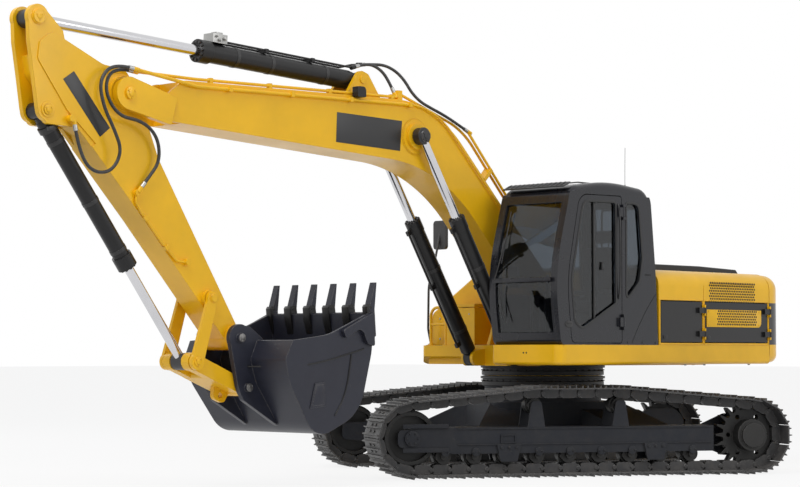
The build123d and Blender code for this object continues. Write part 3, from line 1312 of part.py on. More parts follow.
TOOTH_TIP = (1425, 10)
with BuildPart() as teeth:
    pitch = (2 * LIP_HALF - TOOTH_WIDTH) / (TOOTH_COUNT - 1)
    for i in range(TOOTH_COUNT):
        y = -LIP_HALF + TOOTH_WIDTH / 2 + i * pitch
        slab(
            BUCKET,
            (
                (*on_lip(255, SEAT_FIT), 0),
                (*on_lip(240, 38), 10),
                (*on_lip(-20, 50), 20),
                (TOOTH_TIP[0] + 16, TOOTH_TIP[1] + 4, 4),
                (TOOTH_TIP[0], TOOTH_TIP[1] - 4, 4),
                (*on_lip(-26, -24), 10),
                (*on_lip(-1, SEAT_FIT), 0),
            ),
            y - TOOTH_WIDTH / 2,
            y + TOOTH_WIDTH / 2,
        )
    # A cutter on each side plate, at the corner of the lip
    for _, sign in SIDES:
        with BuildPart(mode=Mode.PRIVATE) as cutter:
            slab(
                BUCKET,
                (
                    (*on_lip(4, 0), 0),
                    (*on_lip(340, 0), 20),
                    (*on_lip(300, -100), 60),
                    (*on_lip(130, -170), 80),
                    (830, 350, 20),
                    (812, 262, 20),
                ),
                *sorted((sign * BUCKET_HALF, sign * (LIP_HALF + 2 * CUTTER_THICK))),
            )
            split(bisect_by=side_of_bucket(sign, SEAT_FIT), keep=Keep.TOP)
            split(bisect_by=side_of_bucket(sign, CUTTER_THICK), keep=Keep.BOTTOM)
        add(cutter.part)
save(teeth.part, "bucket_teeth")


# ---------------------------------------------------------------- pipes and lamp
def tube(plane, points, bends, radius, y=0):
    """A round pipe along points of a side plane, with the radius of the bend at each inner point."""
    with BuildPart(mode=Mode.PRIVATE) as pipe:
        with BuildLine(plane.offset(-y)):
            line = FilletPolyline(*points, radius=bends) if bends else Polyline(*points)
        with BuildSketch(Plane(origin=line @ 0, z_dir=line % 0)):
            Circle(radius)
        sweep()
    return pipe.part


def clamp(plane, spot, y_from, y_to, half_height, half_length=20):
    """A block across the machine that holds a pipe, centred on a point of a side plane."""
    x, y = spot
    slab(
        plane,
        (
            (x - half_length, y - half_height, 0),
            (x + half_length, y - half_height, 0),
            (x + half_length, y + half_height, 0),
            (x - half_length, y + half_height, 0),
        ),
        y_from,
        y_to,
    )


# Along the boom's upper edge: x runs from its bend to its tip, y stands off the top plate
BOOM_BACK, BOOM_BEND, BOOM_FRONT = [point[:2] for point in BOOM_OUTLINE[:3]]
BOOM_TOP = towards(world(BOOM, BOOM_BEND), world(BOOM, BOOM_FRONT))


def on_top(point):
    """A point of the boom's frame, given along its upper edge."""
    return local(BOOM_TOP, world(BOOM, point))


def beside_back(along, inset):
    """A point so far down the boom's back edge from its bend, and so far inside it."""
    length = hypot(BOOM_BEND[0] - BOOM_BACK[0], BOOM_BEND[1] - BOOM_BACK[1])
    back_x, back_y = (BOOM_BACK[0] - BOOM_BEND[0]) / length, (BOOM_BACK[1] - BOOM_BEND[1]) / length
    return on_top(
        (
            BOOM_BEND[0] + along * back_x - inset * back_y,
            BOOM_BEND[1] + along * back_y + inset * back_x,
        )
    )


BOOM_PIPE_Y = BOOM_HALF + PIPE_STAND + SIDE_PIPE
TOP_PIPE_Y, BACK_PIPE_Y = 205, 155
SIDE_PIPE_DROP = 50
FERRULE_RADIUS, FERRULE_LENGTH = 22, 60


def hose(name, *points):
    """A hose of straight runs and tangent arcs. Returns its ferrules, which belong to what it joins."""
    corners = []
    for before, corner, after in zip(points, points[1:], points[2:]):
        run_in, run_out = Vector(corner) - Vector(before), Vector(after) - Vector(corner)
        half_turn = radians(run_in.get_angle(run_out)) / 2
        corners.append(0.45 * min(run_in.length, run_out.length) / tan(half_turn))
    with BuildPart(mode=Mode.PRIVATE) as body:
        with BuildLine():
            line = FilletPolyline(*points, radius=corners)
        with BuildSketch(Plane(origin=line @ 0, z_dir=line % 0)):
            Circle(HOSE_RADIUS)
        sweep()
    as_swept = body.part.volume / (pi * HOSE_RADIUS**2 * line.length)
    print(name, "radii", [round(r) for r in corners])
    print(name, "length", round(line.length), "volume against section and length", round(as_swept, 4))
    save(body.part, name)
    ends = []
    for end, way in ((0, -1), (1, 1)):
        with BuildPart(mode=Mode.PRIVATE) as ferrule:
            with BuildSketch(Plane(origin=line @ end, z_dir=(line % end) * way)):
                Circle(FERRULE_RADIUS)
            extrude(amount=FERRULE_LENGTH)
        ends.append(ferrule.part)
    return ends


# Two hoses loop from the boom's tip to the arm, two more from the boom's back to the arm cylinder
front_hose = hose(
    "arm_hose_front",
    (5990, 250, 3868),
    (6215, 250, 3897),
    (6385, 262, 3735),
    (6345, 270, 3500),
    (6220, 270, 3300),
    (6120, 262, 3100),
    (6230, 240, 2905),
    (6440, 215, 2905),
    (6558, 196, 3100),
    (6592, 182, 3315),
)
rear_hose = hose(
    "arm_hose_rear",
    (5966, 205, 3852),
    (6200, 215, 3870),
    (6315, 235, 3655),
    (6170, 255, 3420),
    (5880, 250, 3400),
    (5690, 235, 3270),
    (5650, 220, 3050),
    (5760, 202, 2900),
    (5836, 186, 2800),
)
head_hose = hose(
    "cylinder_hose_head",
    (2976, 50, 4195),
    (2850, 50, 4233),
    (2720, 55, 4238),
    (2608, 80, 4178),
    (2545, 112, 4072),
    (2508, 145, 3965),
)
rod_hose = hose(
    "cylinder_hose_rod",
    (2791, -50, 4245),
    (2635, -48, 4262),
    (2470, -30, 4270),
    (2360, 30, 4210),
    (2290, 90, 4110),
    (2250, 145, 3990),
    (2165, 190, 3895),
    (2020, 205, 3840),
    (1830, 205, 3785),
    (1640, 205, 3715),
    (1460, 205, 3640),
)

BOOM_REAR = towards(world(BOOM, BOOM_BACK), world(BOOM, BOOM_BEND))
SIDE_EXIT, TOP_EXIT = (5960, 3864), (5936, 3851)     # where they enter the hoses' ferrules
HEAD_EXIT, ROD_EXIT = (3005, 4186), (2821, 4242)     # and the arm cylinder's pipes
BACK_STAND = 140           # the arm cylinder's pipes, off the boom's back
with BuildPart() as boom_pipes:
    # A pipe along the side's upper edge, a thinner one on from it round the bend, one on the top plate
    front = on_top(BOOM_FRONT)[0]
    side_exit, top_exit = [on_top(local(BOOM, point)) for point in (SIDE_EXIT, TOP_EXIT)]
    run = ((350, -SIDE_PIPE_DROP), (front - 150, -SIDE_PIPE_DROP), side_exit)
    add(tube(BOOM_TOP, run, (600,), SIDE_PIPE, BOOM_PIPE_Y))
    run = (beside_back(1600, SIDE_PIPE_DROP), (21, -SIDE_PIPE_DROP), (440, -SIDE_PIPE_DROP))
    add(tube(BOOM_TOP, run, (900,), SMALL_PIPE, BOOM_PIPE_Y))
    reach = BOOM_HALF + 2 * SIDE_PIPE + 2 * PIPE_STAND
    for x in (400, 1250, 2050, 2850):
        clamp(BOOM_TOP, (x, -SIDE_PIPE_DROP), BOOM_HALF + SEAT_FIT, reach, SIDE_PIPE + 8)
    clamp(BOOM_TOP, beside_back(1550, SIDE_PIPE_DROP), BOOM_HALF + SEAT_FIT, reach, SIDE_PIPE + 8)
    stand = PIPE_STAND + TOP_PIPE
    run = ((560, stand), (front - 150, stand), top_exit)
    add(tube(BOOM_TOP, run, (600,), TOP_PIPE, TOP_PIPE_Y))
    for x in (620, 1500, 2300, 3050):
        clamp(BOOM_TOP, (x, stand), TOP_PIPE_Y - 24, BOOM_HALF - 2, stand - SEAT_FIT)
    # The arm cylinder's pipes, which stand off the boom's back on two brackets
    start, end = local(BOOM_REAR, world(BOOM, (1600, 1262))), (900, BACK_STAND)
    add(tube(BOOM_REAR, (start, end), (), TOP_PIPE, TOP_PIPE_Y))
    elbow = local(BOOM_REAR, world(BOOM, (2650, 1297)))
    corner = local(BOOM_REAR, world(BOOM, (1634, 1272)))
    add(tube(BOOM_REAR, (elbow, corner, end), (900,), TOP_PIPE, BACK_PIPE_Y))
    for x in (950, 1500):
        middle = (BACK_STAND + TOP_PIPE + PIPE_STAND) / 2 + SEAT_FIT
        clamp(BOOM_REAR, (x, middle), BACK_PIPE_Y - 25, TOP_PIPE_Y + 25, middle - SEAT_FIT)
    x, rise = on_top((2657, 1297))
    clamp(BOOM_TOP, (x, rise / 2 + 14), BACK_PIPE_Y - 28, BACK_PIPE_Y + 28, rise / 2 + 13, 34)
    for part in (front_hose[0], rear_hose[0], head_hose[1], rod_hose[1]):
        add(part)
save(boom_pipes.part, "boom_pipes")

LAMP_X, LAMP_HALF = 1147, 58
with BuildPart() as work_light:
    slab(
        BOOM_TOP,
        (
            (LAMP_X - LAMP_HALF, -22, 14),
            (LAMP_X + LAMP_HALF, -22, 14),
            (LAMP_X + LAMP_HALF, 85, 14),
            (LAMP_X - LAMP_HALF, 85, 40),
        ),
        BOOM_HALF + PIPE_STAND,
        BOOM_HALF + 88,
    )
    clamp(BOOM_TOP, (LAMP_X, 3.8), 150, BOOM_HALF + 20, 3.5, 28)
save(work_light.part, "work_light")

ARM_PIPE = 12
ARM_PIPE_Y = ARM_HALF + PIPE_STAND + ARM_PIPE
with BuildPart() as arm_pipes:
    # The rear hose goes on as a pipe down the arm's side, the front one ends on the ear
    run = ((843, 330), (905, 385), (1040, 375), (1364, 312), (1610, 240), (1680, 140))
    add(tube(ARM, run, (60, 500, 500, 60), ARM_PIPE, ARM_PIPE_Y))
    for spot in (run[0], run[-1]):
        disc(ARM, spot, 30, ARM_HALF + SEAT_FIT, ARM_PIPE_Y + 22)
    for spot in ((1090, 365), (1440, 290)):
        clamp(ARM, spot, ARM_HALF + SEAT_FIT, ARM_PIPE_Y + ARM_PIPE + 6, ARM_PIPE + 12)
    disc(ARM, (-78, 646), 32, EAR_OUTER + SEAT_FIT, EAR_OUTER + 62)
    for part in (front_hose[1], rear_hose[1]):
        add(part)
save(arm_pipes.part, "arm_pipes")

CYLINDER_PIPE, CYLINDER_PIPE_Y, CYLINDER_PIPE_RISE = 11, 50, 122
VALVE_TOP = 185
VALVE = (1760, 1935)       # block on the barrel, where both pipes end
with BuildPart() as cylinder_pipes:
    head_exit, rod_exit = [local(ARM_CYLINDER_PLANE, point) for point in (HEAD_EXIT, ROD_EXIT)]
    end = (VALVE[0] + 40, CYLINDER_PIPE_RISE)
    run = (head_exit, (95, CYLINDER_PIPE_RISE), end)
    add(tube(ARM_CYLINDER_PLANE, run, (100,), CYLINDER_PIPE, CYLINDER_PIPE_Y))
    run = (rod_exit, (-20, 172), (150, CYLINDER_PIPE_RISE), end)
    add(tube(ARM_CYLINDER_PLANE, run, (100, 100), CYLINDER_PIPE, -CYLINDER_PIPE_Y))
    base = ARM_CYLINDER["tube"] + SEAT_FIT
    for x in (620, 1240):
        clamp(ARM_CYLINDER_PLANE, (x, base + 20), -70, 70, 20)
    slab(
        ARM_CYLINDER_PLANE,
        ((VALVE[0], base, 0), (VALVE[1], base, 0), (VALVE[1], VALVE_TOP, 16), (VALVE[0], VALVE_TOP, 16)),
        -70,
        70,
    )
    for part in (head_hose[0], rod_hose[0]):
        add(part)
save(cylinder_pipes.part, "arm_cylinder_pipes")
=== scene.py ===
from math import cos, pi, radians, sin, tan

import bmesh
import bpy
from mathutils import Matrix, Vector


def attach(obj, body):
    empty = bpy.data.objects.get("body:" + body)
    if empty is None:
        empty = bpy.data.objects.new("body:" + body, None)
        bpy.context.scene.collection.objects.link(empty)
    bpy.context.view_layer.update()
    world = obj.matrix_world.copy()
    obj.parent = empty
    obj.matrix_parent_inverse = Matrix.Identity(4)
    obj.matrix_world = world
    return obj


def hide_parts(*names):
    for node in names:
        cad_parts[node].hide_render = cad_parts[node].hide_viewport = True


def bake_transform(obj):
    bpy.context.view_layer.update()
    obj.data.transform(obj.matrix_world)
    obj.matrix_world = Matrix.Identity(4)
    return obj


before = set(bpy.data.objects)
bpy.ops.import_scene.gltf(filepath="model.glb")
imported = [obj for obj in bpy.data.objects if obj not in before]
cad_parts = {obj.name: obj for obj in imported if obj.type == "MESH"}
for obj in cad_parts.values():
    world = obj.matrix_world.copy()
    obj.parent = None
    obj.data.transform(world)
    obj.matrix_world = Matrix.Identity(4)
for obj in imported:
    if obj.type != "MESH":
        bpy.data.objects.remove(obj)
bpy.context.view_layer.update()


# ---------------------------------------------------------------- shader tools
def new_material(name, roughness=0.5, metallic=0.0, colour=(0.5, 0.5, 0.5)):
    """A material with its Principled shader, and the two things that its nodes are added with."""
    material = bpy.data.materials.new(name)
    material.use_nodes = True
    shader = material.node_tree.nodes["Principled BSDF"]
    shader.inputs["Base Color"].default_value = (*colour, 1)
    shader.inputs["Roughness"].default_value = roughness
    shader.inputs["Metallic"].default_value = metallic
    return material, shader, material.node_tree.nodes, material.node_tree.links


def new_group(name, inputs, outputs):
    """A shader node group. Inputs are (name, type, value) rows, outputs (name, type) rows."""
    group = bpy.data.node_groups.new(name, "ShaderNodeTree")
    for socket, kind, value in inputs:
        made = group.interface.new_socket(socket, in_out="INPUT", socket_type=kind)
        made.default_value = value
    for socket, kind in outputs:
        group.interface.new_socket(socket, in_out="OUTPUT", socket_type=kind)
    return group, group.nodes.new("NodeGroupInput"), group.nodes.new("NodeGroupOutput")


def feed(links, socket, value):
    """Set a socket to a number or an (r, g, b) colour, or link it to another socket."""
    if isinstance(value, bpy.types.NodeSocket):
        links.new(value, socket)
    else:
        socket.default_value = (*value, 1) if isinstance(value, tuple) else value


def add_math(nodes, links, operation, *values, clamp=False):
    """A Math node on sockets or plain numbers. Returns its output."""
    node = nodes.new("ShaderNodeMath")
    node.operation = operation
    node.use_clamp = clamp
    for socket, value in zip(node.inputs, values):
        feed(links, socket, value)
    return node.outputs[0]


def add_noise(nodes, links, place, scale, detail=3.0, roughness=0.5):
    noise = nodes.new("ShaderNodeTexNoise")
    links.new(place, noise.inputs["Vector"])
    for socket, value in (("Scale", scale), ("Detail", detail), ("Roughness", roughness)):
        feed(links, noise.inputs[socket], value)
    return noise.outputs["Fac"]


def add_ramp(nodes, links, value, low, high, to_low=0.0, to_high=1.0):
    """A clamped Map Range from low..high to to_low..to_high."""
    node = nodes.new("ShaderNodeMapRange")
    for socket, number in zip(node.inputs[:5], (value, low, high, to_low, to_high)):
        feed(links, socket, number)
    return node.outputs["Result"]


def add_blend(nodes, links, factor, first, second):
    """A colour Mix. The colours are sockets or (r, g, b) values."""
    mix = nodes.new("ShaderNodeMix")
    mix.data_type = "RGBA"
    feed(links, mix.inputs["Factor"], factor)
    feed(links, mix.inputs[6], first)
    feed(links, mix.inputs[7], second)
    return mix.outputs[2]


def object_place(nodes):
    return nodes.new("ShaderNodeTexCoord").outputs["Object"]


def roughen(nodes, links, shader, height, distance, strength=1.0):
    """Fine relief on a material."""
    bump = nodes.new("ShaderNodeBump")
    feed(links, bump.inputs["Distance"], distance)
    feed(links, bump.inputs["Strength"], strength)
    links.new(height, bump.inputs["Height"])
    links.new(bump.outputs[0], shader.inputs["Normal"])


# ---------------------------------------------------------------- camera
# A long lens a little above the ground, ahead of the machine and on the cab's side.
# It stands in the upper structure's frame, which is the model's own.
camera = bpy.data.objects.new("camera", bpy.data.cameras.new("camera"))
bpy.context.collection.objects.link(camera)
CAMERA_PLACE, CAMERA_LENS = (17.9812, 15.3353, 1.2921), 95.32
CAMERA_HEADING, CAMERA_TILT = radians(45.694), radians(2.952)
sight = Vector((
    -sin(CAMERA_HEADING) * cos(CAMERA_TILT),
    -cos(CAMERA_HEADING) * cos(CAMERA_TILT),
    sin(CAMERA_TILT),
))
camera.location = CAMERA_PLACE
camera.rotation_euler = sight.to_track_quat("-Z", "Y").to_euler()
camera.data.sensor_width = 36
camera.data.lens = CAMERA_LENS
camera.data.clip_end = 400
bpy.context.scene.camera = camera
bpy.context.scene.view_settings.view_transform = "Standard"


# ---------------------------------------------------------------- studio
# A plain white floor that runs out to the horizon and a white surround, which the glossy
# paint and the glass mirror. Two broad lamps stand ahead and on the cab's side, and a weaker
# one on the far side.
def show_as_white(nodes, links, lit_shader, white_shader, output_socket, camera_part=1.0):
    """White to mirrors and through glass, and so far to the camera; the lit shader to the rest."""
    rays = nodes.new("ShaderNodeLightPath").outputs
    direct = add_math(nodes, links, "MULTIPLY", rays["Is Camera Ray"], camera_part)
    seen = add_math(nodes, links, "MAXIMUM", direct, rays["Is Transmission Ray"])
    mirrored = add_math(nodes, links, "MAXIMUM", seen, rays["Is Glossy Ray"])
    mix = nodes.new("ShaderNodeMixShader")
    links.new(mirrored, mix.inputs[0])
    links.new(lit_shader, mix.inputs[1])
    links.new(white_shader, mix.inputs[2])
    links.new(mix.outputs[0], output_socket)


world = bpy.data.worlds.new("surround")
world.use_nodes = True
world_nodes, world_links = world.node_tree.nodes, world.node_tree.links
soft_light = world_nodes["Background"]
soft_light.inputs["Color"].default_value = (0.95, 0.97, 1.0, 1)
soft_light.inputs["Strength"].default_value = 0.42
white_sky = world_nodes.new("ShaderNodeBackground")
white_sky.inputs["Color"].default_value = (1, 1, 1, 1)
white_sky.inputs["Strength"].default_value = 1.0
show_as_white(
    world_nodes, world_links, soft_light.outputs[0], white_sky.outputs[0],
    world_nodes["World Output"].inputs["Surface"],
)
bpy.context.scene.world = world

bpy.ops.mesh.primitive_plane_add(size=300, location=(0, 0, -0.002))
floor = bpy.context.object
floor.name = "floor"
floor_material = bpy.data.materials.new("floor_white")
floor_material.use_nodes = True
floor_nodes, floor_links = floor_material.node_tree.nodes, floor_material.node_tree.links
floor_shader = floor_nodes["Principled BSDF"]
floor_shader.inputs["Base Color"].default_value = (0.84, 0.84, 0.84, 1)
floor_shader.inputs["Roughness"].default_value = 0.75
floor_shader.inputs["Specular IOR Level"].default_value = 0.2
floor_glow = floor_nodes.new("ShaderNodeEmission")
show_as_white(
    floor_nodes, floor_links, floor_shader.outputs[0], floor_glow.outputs[0],
    floor_nodes["Material Output"].inputs["Surface"], camera_part=0.86,
)
floor.data.materials.append(floor_material)

for name, place, size, power in (
    ("key_lamp", (12, 3, 14), 8, 1150),
    ("cab_side_lamp", (-1, 15, 9), 8, 620),
    ("fill_lamp", (4, -14, 8), 8, 260),
):
    lamp = bpy.data.objects.new(name, bpy.data.lights.new(name, "AREA"))
    lamp.data.size = size
    lamp.data.energy = power
    lamp.location = place
    lamp.rotation_euler = (Vector((0, 0, 1.5)) - Vector(place)).to_track_quat("-Z", "Y").to_euler()
    bpy.context.collection.objects.link(lamp)


# ---------------------------------------------------------------- hoses
# Four wire-braided rubber hoses, 32 mm thick, crimped into steel ferrules at both ends. Two loop
# from the pipes at the boom's tip to the arm, two run from the arm cylinder to pipes on the
# boom's back.
hose_rubber, hose_shader, nodes, links = new_material("hose_rubber", 0.5)
place = object_place(nodes)
scuffs = add_ramp(nodes, links, add_noise(nodes, links, place, 38, 4), 0.52, 0.7)
links.new(
    add_blend(nodes, links, scuffs, (0.020, 0.020, 0.021), (0.055, 0.053, 0.05)),
    hose_shader.inputs["Base Color"],
)
links.new(add_ramp(nodes, links, scuffs, 0, 1, 0.42, 0.62), hose_shader.inputs["Roughness"])
roughen(nodes, links, hose_shader, add_noise(nodes, links, place, 420, 2), 0.001, 0.4)

HOSE_DIAMETER = 0.032
CRIMP_RADIUS, CRIMP_LENGTH = HOSE_DIAMETER * 0.64, 0.055


def curve_mesh(name, points, depth, sides=3):
    """A smooth tube on a NURBS line through the route's points, or the bare line for no depth."""
    curve = bpy.data.curves.new(name, "CURVE")
    curve.dimensions = "3D"
    curve.resolution_u = 10
    spline = curve.splines.new("NURBS")
    spline.points.add(len(points) - 1)
    for control, point in zip(spline.points, points):
        control.co = (*point, 1)
    spline.order_u = 3
    spline.use_endpoint_u = True
    curve.bevel_depth = depth
    curve.bevel_resolution = sides
    curve.use_fill_caps = depth > 0
    drawn = bpy.data.objects.new(name + "_line", curve)
    bpy.context.collection.objects.link(drawn)
    bpy.context.view_layer.update()
    graph = bpy.context.evaluated_depsgraph_get()
    mesh = bpy.data.meshes.new_from_object(drawn.evaluated_get(graph))
    bpy.data.objects.remove(drawn)
    mesh.name = name
    return mesh


crimp_steel, crimp_shader, nodes, links = new_material("crimp_steel", 0.35, 0.9)
links.new(
    add_blend(nodes, links, add_noise(nodes, links, object_place(nodes), 60, 4),
              (0.30, 0.30, 0.30), (0.55, 0.55, 0.54)),
    crimp_shader.inputs["Base Color"],
)


def lay_hose(name, points, arm_body, start, end):
    """A hose over the joint from the boom to arm_body, in place of its CAD solid."""
    path = [vertex.co.copy() for vertex in curve_mesh(name + "_path", points, 0).vertices]
    mesh = curve_mesh(name, points, HOSE_DIAMETER / 2, 4)
    for face in mesh.polygons:
        face.use_smooth = True
    piece = bpy.data.objects.new(name, mesh)
    bpy.context.collection.objects.link(piece)
    mesh.materials.clear()
    mesh.materials.append(hose_rubber)
    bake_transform(piece)
    for outer, inner in ((points[0], points[1]), (points[-1], points[-2])):
        crimp_start = Vector(outer)
        nearer_boom = (crimp_start - Vector(start)).length < (crimp_start - Vector(end)).length
        body = "boom" if nearer_boom else arm_body
        crimp_end = crimp_start + (Vector(inner) - crimp_start).normalized() * CRIMP_LENGTH
        crimp_name = f"{name}_crimp_on_{body}"
        tube = curve_mesh(crimp_name, (crimp_start, crimp_end), CRIMP_RADIUS, 5)
        crimp = bpy.data.objects.new(crimp_name, tube)
        bpy.context.collection.objects.link(crimp)
        crimp.data.materials.clear()
        crimp.data.materials.append(crimp_steel)
        crimp.data.shade_smooth()
        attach(crimp, body)
    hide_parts(name.replace("_cover", ""))


lay_hose(
    "arm_hose_front_cover",
    (
        (5.990, 0.250, 3.868), (6.215, 0.250, 3.897), (6.385, 0.262, 3.735), (6.345, 0.270, 3.500),
        (6.220, 0.270, 3.300), (6.120, 0.262, 3.100), (6.230, 0.240, 2.905), (6.440, 0.215, 2.905),
        (6.558, 0.196, 3.100), (6.592, 0.182, 3.315),
    ),
    "arm", (6.10, 0.25, 3.75), (6.50, 0.19, 3.00),
)
lay_hose(
    "arm_hose_rear_cover",
    (
        (5.966, 0.205, 3.852), (6.200, 0.215, 3.870), (6.315, 0.235, 3.655), (6.170, 0.255, 3.420),
        (5.880, 0.250, 3.400), (5.690, 0.235, 3.270), (5.650, 0.220, 3.050), (5.760, 0.202, 2.900),
        (5.836, 0.186, 2.800),
    ),
    "arm", (6.05, 0.21, 3.75), (5.72, 0.20, 2.98),
)
lay_hose(
    "cylinder_hose_head_cover",
    (
        (2.976, 0.050, 4.195), (2.850, 0.050, 4.233), (2.720, 0.055, 4.238), (2.608, 0.080, 4.178),
        (2.545, 0.112, 4.072), (2.508, 0.145, 3.965),
    ),
    "arm_barrel", (2.53, 0.13, 4.02), (2.92, 0.05, 4.21),
)
lay_hose(
    "cylinder_hose_rod_cover",
    (
        (2.791, -0.050, 4.245), (2.635, -0.048, 4.262), (2.470, -0.030, 4.270),
        (2.360, 0.030, 4.210), (2.290, 0.090, 4.110), (2.250, 0.145, 3.990), (2.165, 0.190, 3.895),
        (2.020, 0.205, 3.840), (1.830, 0.205, 3.785), (1.640, 0.205, 3.715), (1.460, 0.205, 3.640),
    ),
    "arm_barrel", (2.20, 0.17, 3.95), (2.72, -0.05, 4.25),
)


# ---------------------------------------------------------------- paint and dust
# Every plate is sprayed. Paint shows fine orange peel, wears to bare metal on its edges, and holds
# dust where it faces up and low down near the tracks.
VALUE, COLOUR = "NodeSocketFloat", "NodeSocketColor"
worn_paint, group_in, group_out = new_group(
    "worn_paint",
    (
        ("Paint", COLOUR, (0.5, 0.5, 0.5, 1)),
        ("Dust", COLOUR, (0.35, 0.32, 0.28, 1)),
        ("Bare Metal", COLOUR, (0.18, 0.17, 0.16, 1)),
        ("Dust Amount", VALUE, 0.3),
        ("Wear", VALUE, 0.3),
        ("Edge Width", VALUE, 0.006),
        ("Gloss Roughness", VALUE, 0.35),
        ("Peel Scale", VALUE, 260.0),
    ),
    (("Color", COLOUR), ("Roughness", VALUE), ("Metallic", VALUE), ("Normal", "NodeSocketVector")),
)
nodes, links = worn_paint.nodes, worn_paint.links
given = group_in.outputs
place = object_place(nodes)
facing = nodes.new("ShaderNodeNewGeometry")
rounded = nodes.new("ShaderNodeBevel")
rounded.samples = 4
links.new(given["Edge Width"], rounded.inputs["Radius"])
edge_dot = nodes.new("ShaderNodeVectorMath")
edge_dot.operation = "DOT_PRODUCT"
links.new(rounded.outputs[0], edge_dot.inputs[0])
links.new(facing.outputs["True Normal"], edge_dot.inputs[1])
edge = add_ramp(nodes, links, edge_dot.outputs["Value"], 0.995, 0.86)
chips = add_ramp(nodes, links, add_noise(nodes, links, place, 34, 5, 0.65), 0.62, 0.5)
scrapes = add_ramp(nodes, links, add_noise(nodes, links, place, 5.5, 6, 0.7), 0.66, 0.72)
worn = add_math(nodes, links, "MULTIPLY", edge, chips)
worn = add_math(nodes, links, "ADD", worn, add_math(nodes, links, "MULTIPLY", scrapes, 0.35))
worn = add_math(nodes, links, "MULTIPLY", worn, given["Wear"], clamp=True)
blotches = add_noise(nodes, links, place, 1.7, 5, 0.6)
fade = add_ramp(nodes, links, blotches, 0.3, 0.7, 0.0, 0.14)
split = nodes.new("ShaderNodeSeparateXYZ")
links.new(facing.outputs["Normal"], split.inputs[0])
upward = add_ramp(nodes, links, split.outputs["Z"], -0.2, 0.9, 0.25, 1.0)
height = nodes.new("ShaderNodeSeparateXYZ")
links.new(place, height.inputs[0])
low_down = add_ramp(nodes, links, height.outputs["Z"], 1.5, 0.1, 0.0, 0.7)
dusty = add_ramp(nodes, links, add_noise(nodes, links, place, 6.0, 7, 0.7), 0.38, 0.72)
dusty = add_math(nodes, links, "MULTIPLY", dusty, add_math(nodes, links, "ADD", upward, low_down))
dusty = add_math(nodes, links, "MULTIPLY", dusty, given["Dust Amount"], clamp=True)
colour = add_blend(nodes, links, fade, given["Paint"], (0.02, 0.015, 0.01))
colour = add_blend(nodes, links, worn, colour, given["Bare Metal"])
colour = add_blend(nodes, links, dusty, colour, given["Dust"])
links.new(colour, group_out.inputs["Color"])
sheen = add_math(nodes, links, "ADD", given["Gloss Roughness"],
                 add_math(nodes, links, "MULTIPLY", dusty, 0.45), clamp=True)
sheen = add_math(nodes, links, "ADD", sheen, add_math(nodes, links, "MULTIPLY", fade, 0.6))
links.new(sheen, group_out.inputs["Roughness"])
links.new(add_math(nodes, links, "MULTIPLY", worn, 0.8), group_out.inputs["Metallic"])
peel = nodes.new("ShaderNodeBump")
peel.inputs["Strength"].default_value = 0.12
peel.inputs["Distance"].default_value = 0.0012
links.new(add_noise(nodes, links, place, given["Peel Scale"], 2), peel.inputs["Height"])
links.new(rounded.outputs[0], peel.inputs["Normal"])
links.new(peel.outputs[0], group_out.inputs["Normal"])


def paint(name, colour, roughness=0.35, dust=0.3, wear=0.3, edge=0.006, coat=0.0, bare=None,
          dust_colour=None, peel=260.0, metallic=0.0, shine=0.5):
    """A sprayed or rolled finish from the shared group, with its own values."""
    material, shader, nodes, links = new_material(name, roughness, metallic)
    film = nodes.new("ShaderNodeGroup")
    film.node_tree = worn_paint
    film.inputs["Paint"].default_value = (*colour, 1)
    for socket, value in (
        ("Gloss Roughness", roughness), ("Dust Amount", dust), ("Wear", wear),
        ("Edge Width", edge), ("Peel Scale", peel),
    ):
        film.inputs[socket].default_value = value
    if bare:
        film.inputs["Bare Metal"].default_value = (*bare, 1)
    if dust_colour:
        film.inputs["Dust"].default_value = (*dust_colour, 1)
    links.new(film.outputs["Color"], shader.inputs["Base Color"])
    links.new(film.outputs["Roughness"], shader.inputs["Roughness"])
    if not metallic:
        links.new(film.outputs["Metallic"], shader.inputs["Metallic"])
    links.new(film.outputs["Normal"], shader.inputs["Normal"])
    shader.inputs["Coat Weight"].default_value = coat
    shader.inputs["Coat Roughness"].default_value = 0.08
    shader.inputs["Specular IOR Level"].default_value = shine
    return material


def finish_nodes(material, *names):
    """Give CAD solids a finish."""
    for name in names:
        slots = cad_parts[name].material_slots
        for material_slot in slots:
            material_slot.link = "OBJECT"
            material_slot.material = material


YELLOW = (0.94, 0.52, 0.003)
yellow_paint = paint("yellow_paint", YELLOW, 0.34, dust=0.05, wear=0.08, coat=0.22,
                     dust_colour=(0.60, 0.42, 0.16), shine=0.3)
black_paint = paint("black_paint", (0.010, 0.010, 0.011), 0.32, dust=0.06, wear=0.10, coat=0.06,
                    dust_colour=(0.10, 0.10, 0.095), shine=0.3)
frame_paint = paint("undercarriage_paint", (0.014, 0.016, 0.022), 0.5, dust=0.22, wear=0.3,
                    dust_colour=(0.075, 0.072, 0.068), shine=0.25)
cab_paint = paint("cab_paint", (0.012, 0.013, 0.018), 0.22, dust=0.04, wear=0.04, coat=0.12,
                  dust_colour=(0.10, 0.10, 0.10), shine=0.35)
bucket_paint = paint("bucket_paint", (0.020, 0.022, 0.036), 0.34, dust=0.14, wear=0.55, edge=0.010,
                     dust_colour=(0.09, 0.09, 0.10), bare=(0.20, 0.19, 0.18), shine=0.35)
cast_steel = paint("cast_steel", (0.014, 0.014, 0.014), 0.46, dust=0.15, wear=0.5, edge=0.008,
                   dust_colour=(0.075, 0.072, 0.066), bare=(0.20, 0.19, 0.18), peel=120.0,
                   shine=0.35)
pin_steel = paint("pin_steel", (0.22, 0.215, 0.21), 0.38, dust=0.3, wear=0.5, edge=0.004,
                  dust_colour=(0.2, 0.19, 0.18), bare=(0.5, 0.49, 0.48), metallic=0.85)
